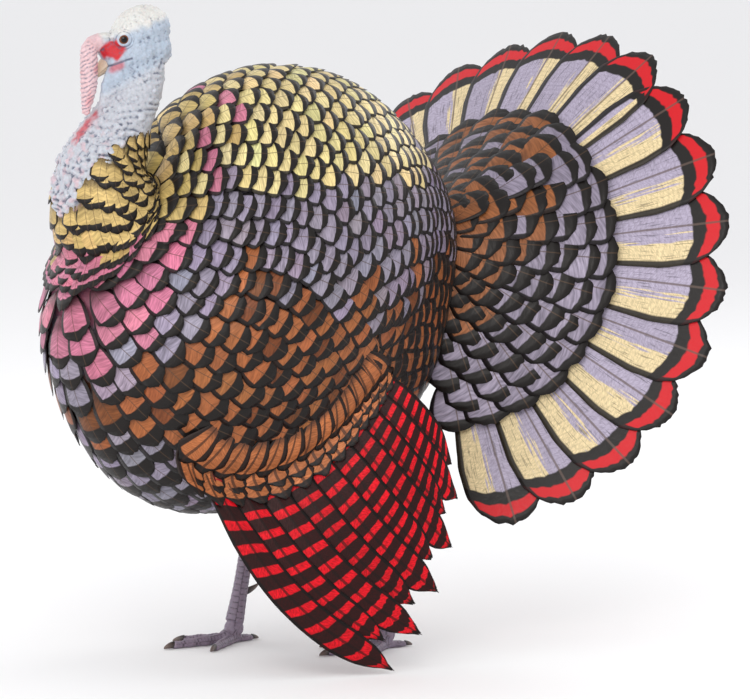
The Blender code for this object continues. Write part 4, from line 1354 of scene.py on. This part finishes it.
# A point of the fan: the direction at this angle, swept back at the sides, times the radius.
def fanPoint(angle, radius, forward=0.0):
    up, left, front = fanAxes()
    rolled = angle + math.radians(fan["roll"])
    sweep = fan["sweep"] * np.abs(np.sin(angle)) ** fan["sweepPower"]
    along = unit(np.cos(rolled)[..., None] * up + np.sin(rolled)[..., None] * left - sweep[..., None] * front)
    return fan["centre"] + along * np.asarray(radius)[..., None] + front * np.asarray(forward)[..., None]


# Feathers laid on the fan between two radii, at a height in front that falls with the radius.
def fanVanes(angles, inner, outer, width, settings, height, rows, face=1.0):
    v = np.linspace(0, 1, rows)
    radius = inner[:, None] + (outer - inner)[:, None] * v
    angle = np.broadcast_to(angles[:, None], radius.shape)
    forward = height(radius, v)
    shaft = fanPoint(angle, radius, forward)
    cross = unit(fanPoint(angle + 0.01, radius, forward) - fanPoint(angle - 0.01, radius, forward))
    ahead = unit(np.gradient(shaft, axis=1))
    normal = unit(np.cross(cross, ahead)) * face
    cross = cross * face
    tilt = settings["tilt"] * np.sign(angles + 1e-6)[:, None, None] * face
    cross, normal = unit(cross + normal * tilt), unit(normal - cross * tilt)
    half = width[:, None] / 2 * profile(settings["shape"], rows)
    return vaneShells(shaft, cross, normal, half, settings["style"], rng)


count = fan["feathers"]
halfSpread = math.radians(fan["spread"])
fanAngles = (np.arange(count) + 0.5) / count * 2 * halfSpread - halfSpread
reach = fan["radius"] * (1 - 0.05 * (fanAngles / halfSpread) ** 2) * rng.uniform(0.992, 1.008, count)
shell = fanVanes(fanAngles, np.full(count, fan["root"]), reach, np.full(count, fan["width"]), fan,
                 lambda radius, v: -0.0015 - 0.010 * v**2 + 0 * radius, 44)
places = np.stack([(fanAngles + halfSpread) / (2 * halfSpread) * 0.96 + 0.02, np.full(count, 0.5)], 1)
tint = np.tile(shades["fanLavender"], (count, 1)) * rng.uniform(0.95, 1.08, (count, 1))
piece = makeCoat("tailFeathers", shell, tint, places, (0.050, 0.98), tailVane, {"lapped": (fanAngles < 0) * 1.0})
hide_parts("tail_fan")

fanCoverts = {
    "radii": (0.262, 0.236, 0.210, 0.184, 0.159, 0.134, 0.110, 0.087), "length": 0.082, "least": 0.024,
    "spacing": (0.028, 0.095), "overlap": 1.45, "spread": 1.06, "tilt": 0.10,
    # by the angle from the middle, how many of the outer rows are lavender; the others are brown
    "lavenderTurns": (0.05, 0.35, 1.1), "lavenderRows": (0, 2, 4),
    "style": {"columns": 9, "thick": 0.0008, "camber": 0.10, "round": 0.16, "ragged": 0.02, "shaftHeight": 0.0006},
    "shape": bodyFeathers["shape"],
}
underCoverts = {"radii": (0.180, 0.155, 0.130, 0.106, 0.082, 0.060), "length": 0.060, "least": 0.022,
                "spacing": (0.026, 0.090), "overlap": 1.5}


# How high the upper coverts stand before the fan: most at its foot, by a power of the share still to go.
def covertHeight(radius):
    share = np.clip((radius - 0.022) / 0.24, 0, 1)
    return 0.007 + 0.062 * (1 - share) ** 1.3


# How far the under coverts stand behind the fan, the same way.
def underDepth(radius):
    share = np.clip((radius - 0.022) / 0.16, 0, 1)
    return 0.010 + 0.040 * (1 - share) ** 1.2


# The spacing of a row of coverts: a fixed part and a part that grows with the radius.
def covertSpacing(coverts, radius):
    fixed, growing = coverts["spacing"]
    return fixed + growing * radius


# Rows of coverts over the fan's foot, each row staggered against the next: angle, radius and row of each.
def layFanCoverts(coverts, spread):
    found = []
    for row, radius in enumerate(coverts["radii"]):
        count = round(2 * spread * radius / covertSpacing(coverts, radius))
        steps = (np.arange(count) + 0.5 + 0.5 * (row % 2)) / count
        steps = steps[steps < 1]
        same = np.ones(len(steps))
        found.append(np.column_stack([steps * 2 * spread - spread, radius * same, row * same]))
    return np.concatenate(found).T


angles, outer, row = layFanCoverts(fanCoverts, halfSpread * fanCoverts["spread"])
outer = outer * rng.uniform(0.985, 1.015, len(outer))
inner = np.maximum(outer - fanCoverts["length"] * rng.uniform(0.95, 1.05, len(outer)), fanCoverts["least"])
shell = fanVanes(angles, inner, outer, covertSpacing(fanCoverts, outer) * fanCoverts["overlap"], fanCoverts,
                 lambda radius, v: covertHeight(radius) - 0.006 * (1 - v), 8)
paleRows = np.interp(angles, fanCoverts["lavenderTurns"], fanCoverts["lavenderRows"])
covertTints = np.where((row < paleRows)[:, None], shades["lavender"], shades["brown"])
patchy = (row < 5) & (rng.uniform(size=len(row)) < np.where(angles < 0, 0.12, 0.35))
covertTints[patchy] = shades["lavender"]
covertTints = covertTints * rng.uniform(0.86, 1.12, (len(row), 1))
places = np.stack([(angles / halfSpread / fanCoverts["spread"] + 1) / 2, outer / 0.28], 1)
piece = makeCoat("upperTailCoverts", shell, covertTints, places, (0.014, 0.05), contourVane,
                 {"deepen": np.where(row < 2, 0.0, 0.045)})
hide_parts("tail_coverts_upper")

angles, outer, row = layFanCoverts(underCoverts, halfSpread)
inner = np.maximum(outer - underCoverts["length"], underCoverts["least"])
shell = fanVanes(angles, inner, outer, covertSpacing(underCoverts, outer) * underCoverts["overlap"], fanCoverts,
                 lambda radius, v: -underDepth(radius) + 0.005 * (1 - v), 8, face=-1.0)
places = np.stack([(angles / halfSpread + 1) / 2, outer / 0.19], 1)
tint = np.tile(shades["brown"], (len(row), 1)) * rng.uniform(0.8, 1.1, (len(row), 1))
piece = makeCoat("underTailCoverts", shell, tint, places, (0.016, 0.06), contourVane)
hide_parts("tail_coverts_under")
print("tail fan made")


# Wings.

flights = {
    "style": {"columns": 13, "thick": 0.0009, "camber": 0.07, "round": 0.03, "ragged": 0.006, "shaftHeight": 0.0010},
    "shape": ((0, 0.40), (0.12, 0.70), (0.3, 0.92), (0.55, 1.0), (0.80, 1.0), (0.90, 0.80), (0.96, 0.50), (1.0, 0.16)),
    "primaries": 6, "secondaries": 4, "share": 0.62, "tilt": 0.10,
}


# A direction at an angle round the side axis and a reach from it: (cos r, sin r cos a, sin r sin a).
def wingDirection(sign, angle, reach):
    return np.stack([sign * np.cos(reach), np.sin(reach) * np.cos(angle), np.sin(reach) * np.sin(angle)], -1)


# The angle round the wing's rim at a share t of its arc.
def rimAngle(wing, t):
    start, end = wing["arc"]
    return np.radians(start + (end - start) * t)


# A sheet from the wing's lower rim to the arc of tips: a straight line bowed forward and outward by a sine.
# The tips lie on a curve through three points, (1-t)^2, 2t(1-t) and t^2 of them.
def wingSheet(wing, t, w, lift=0.0):
    sign = wing["sign"]
    angle = rimAngle(wing, t)
    direction = wingDirection(sign, angle, wingReach(angle, wing["wrist"]) + 0.010)
    root = trunk["centre"] + direction * (trunkRadius(direction) + 0.0058)[..., None]
    first, second, third = (np.array(tip) * (sign, 1, 1) for tip in wing["tips"])
    t1, w1 = t[..., None], w[..., None]
    tip = (1 - t1) ** 2 * first + 2 * t1 * (1 - t1) * second + t1**2 * third
    bow = np.sin(math.pi * np.clip(w, 0, 1))
    forward = wing["bow"] * (1 - t) ** 1.3
    bowed = np.stack([sign * 0.020 * bow, -0.80 * forward * bow, -0.60 * forward * bow], -1)
    point = root + (tip - root) * w1 + bowed
    leaving = np.clip(w1 * 4, 0, 1)
    outward = unit(direction * (1 - leaving) + np.array([sign, -0.25, 0.05]) * leaving)
    point = point + outward * np.asarray(lift)[..., None]
    point[..., 2] = np.maximum(point[..., 2], 0.0006)
    return point


# Feathers on that sheet; places below 0 run on up the wing's covert lens from its rim, in steps of degrees.
def wingSurface(wing, t, q, lift):
    angle = rimAngle(wing, t)
    direction = wingDirection(wing["sign"], angle, wingReach(angle, wing["wrist"]) + np.radians(np.minimum(q, 0) * 100))
    onCoat = trunk["centre"] + direction * (coatRadius(direction) + lift)[..., None]
    return np.where((q < 0)[..., None], onCoat, wingSheet(wing, t, np.maximum(q, 0), lift + 0.002))


# Rounds the bend at the wing's rim: each point takes a share of its two neighbours, a few times over.
def soften(lines):
    for _ in range(4):
        mean = 0.25 * lines[:, :-2] + 0.5 * lines[:, 1:-1] + 0.25 * lines[:, 2:]
        lines = np.concatenate([lines[:, :1], mean, lines[:, -1:]], 1)
    return lines


# Feathers on the wing: each shaft is the surface's line at its t, from start to end, softened at the rim,
# and its vane is tilted a little, so that each feather laps the next.
def sheetVanes(wing, t, start, end, width, settings, lift, rows):
    v = np.linspace(0, 1, rows)
    w = start[:, None] + (end - start)[:, None] * v
    across = np.broadcast_to(t[:, None], w.shape)
    height = lift(v) + 0 * w
    before, shaft, after = (soften(wingSurface(wing, across + step, w, height)) for step in (-0.01, 0, 0.01))
    cross, normal, flip = vaneFrame(shaft, unit(after - before), np.array([wing["sign"], 0.0, 0.0]))
    tilt = settings["tilt"] * flip
    cross, normal = unit(cross + normal * tilt), unit(normal - cross * tilt)
    half = width[:, None] / 2 * profile(settings["shape"], rows)
    return vaneShells(shaft, cross, normal, half, settings["style"], rng)


wingCoverts = {
    "laps": ((-0.065, 0.135, 13), (-0.090, 0.070, 14), (-0.115, 0.005, 14)),   # start, end, count
    "width": 0.047, "tipRise": 0.0095, "lapRise": 0.0032, "rootDepth": 0.019, "tilt": 0.05,
    "shape": ((0, 0.30), (0.2, 0.60), (0.45, 0.86), (0.7, 1.0), (0.86, 1.0), (0.95, 0.84), (1.0, 0.60)),
    "style": {**flights["style"], "columns": 11, "round": 0.20, "ragged": 0.012, "camber": 0.07},
}
for side in ("left", "right"):
    wing = wings[side]
    for label, count, low, high in (("primaries", flights["primaries"], 0.07, flights["share"]),
                                    ("secondaries", flights["secondaries"], flights["share"], 0.98)):
        t = low + (high - low) * (np.arange(count) + 0.5) / count
        near, far = wingSheet(wing, t - 0.02, np.full(count, 0.9)), wingSheet(wing, t + 0.02, np.full(count, 0.9))
        spacing = np.linalg.norm(far - near, axis=1) / 0.04 * (high - low) / count
        width = np.clip(spacing * 1.55, 0.040, 0.062)
        end = 1.0 - 0.10 * (np.arange(count) % 2) - 0.02 * rng.uniform(size=count)
        rise = 0.0022 * ((np.arange(count) + 1) % 2)[:, None]
        shell = sheetVanes(wing, t, np.full(count, -0.02), end, width, flights, lambda v: 0.0010 + rise * v, 34)
        places = np.stack([(np.arange(count) + 0.5) / count, np.full(count, 0.5)], 1)
        tint = np.tile(shades["flightRed"], (count, 1)) * rng.uniform(0.9, 1.15, (count, 1))
        piece = makeCoat(side + label.capitalize(), shell, tint, places, (0.9 / count, 0.96), flightVane)
        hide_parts(f"wing_{side}_{label}")
    # greater coverts: rooted under the body feathers, they hang from the wing's rim over the flight feathers
    plan = []
    for lap, (start, end, count) in enumerate(wingCoverts["laps"]):
        steps = (np.arange(count) + 0.5 + 0.5 * (lap % 2)) / count
        ends = end * rng.uniform(0.92, 1.08, count)
        plan.append(np.column_stack([steps * 1.02 - 0.02, np.full(count, start), ends, np.full(count, lap)]))
    t, start, end, lap = np.concatenate(plan).T
    tips = wingCoverts["tipRise"] + wingCoverts["lapRise"] * lap[:, None]
    shell = sheetVanes(wing, t, start, end, wingCoverts["width"] * rng.uniform(0.94, 1.06, len(t)), wingCoverts,
                       lambda v: tips - wingCoverts["rootDepth"] * (1 - v) ** 2, 14)
    places = np.stack([np.clip((t + 0.03) / 1.04, 0, 1), 0.2 + lap * 0.3], 1)
    tint = np.tile(shades["copper"], (len(t), 1)) * rng.uniform(0.95, 1.35, (len(t), 1))
    piece = makeCoat(side + "WingCoverts", shell, tint, places, (0.05, 0.2), covertVane)
    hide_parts(f"wing_{side}_coverts")
print("wings made")


# Stage.

view = {"azimuth": 55, "elevation": 7, "lens": 300, "film": 36, "aim": (0.1890, 0.4185), "frameWidth": 1.0275}
# name, place, size in metres, power in watts, colour
lamps = (
    ("keyLamp", (3.0, -2.0, 2.6), 2.0, 54, (1.0, 0.98, 0.95)),
    ("faceLamp", (1.4, -3.4, 1.1), 2.4, 26, (1.0, 0.99, 0.98)),
    ("fillLamp", (-2.6, -1.2, 1.6), 2.4, 16, (0.97, 0.98, 1.0)),
    ("backLamp", (-0.6, 3.0, 2.4), 2.0, 30, (1.0, 1.0, 1.0)),
)


# Pale matt floor paint under an even pale sky.
def buildStage():
    floorMaterial, tree, shader = newMaterial("paleFloorPaint")
    fill(tree, shader, {"Base Color": (0.92, 0.92, 0.92, 1), "Roughness": 0.75})
    mesh = bpy.data.meshes.new("floor")
    maker = bmesh.new()
    bmesh.ops.create_grid(maker, x_segments=1, y_segments=1, size=40.0)
    maker.to_mesh(mesh)
    maker.free()
    mesh.materials.append(floorMaterial)
    floor = putIn("floor", mesh)
    floor.location.z = -0.0005
    world = bpy.data.worlds.new("paleStudio")
    world.use_nodes = True
    world.node_tree.nodes["Background"].inputs[0].default_value = (0.98, 0.98, 1.0, 1)
    world.node_tree.nodes["Background"].inputs[1].default_value = 0.92
    bpy.context.scene.world = world
    bpy.context.scene.view_settings.view_transform = "Standard"


# A square soft lamp that looks at the bird's middle.
def addLamp(name, place, size, power, colour):
    lamp = bpy.data.lights.new(name, "AREA")
    lamp.size, lamp.energy, lamp.color = size, power, colour
    light = putIn(name, lamp)
    light.location = Vector(place) + Vector(standing)
    light.rotation_euler = (Vector((0, 0.1, 0.45)) - Vector(place)).to_track_quat("-Z", "Y").to_euler()


# The camera stands on a line from the aim, at the distance at which the frame is that many metres wide there.
def placeCamera():
    azimuth, elevation = math.radians(view["azimuth"]), math.radians(view["elevation"])
    right = np.array([math.cos(azimuth), math.sin(azimuth), 0])
    toward = np.array([math.sin(azimuth), -math.cos(azimuth), 0])
    sight = toward * math.cos(elevation) + np.array([0, 0, 1]) * math.sin(elevation)
    aim = right * view["aim"][0] + np.array([0, 0, view["aim"][1] / math.cos(elevation)]) + standing
    camera = bpy.data.cameras.new("camera")
    camera.lens, camera.sensor_width, camera.clip_end = view["lens"], view["film"], 60
    seen = putIn("camera", camera)
    seen.location = Vector(aim + sight * view["frameWidth"] * view["lens"] / view["film"])
    seen.rotation_euler = Vector(-sight).to_track_quat("-Z", "Y").to_euler()
    bpy.context.scene.camera = seen


buildStage()
for lamp in lamps:
    addLamp(*lamp)
placeCamera()
print("stage, lamps and camera placed")
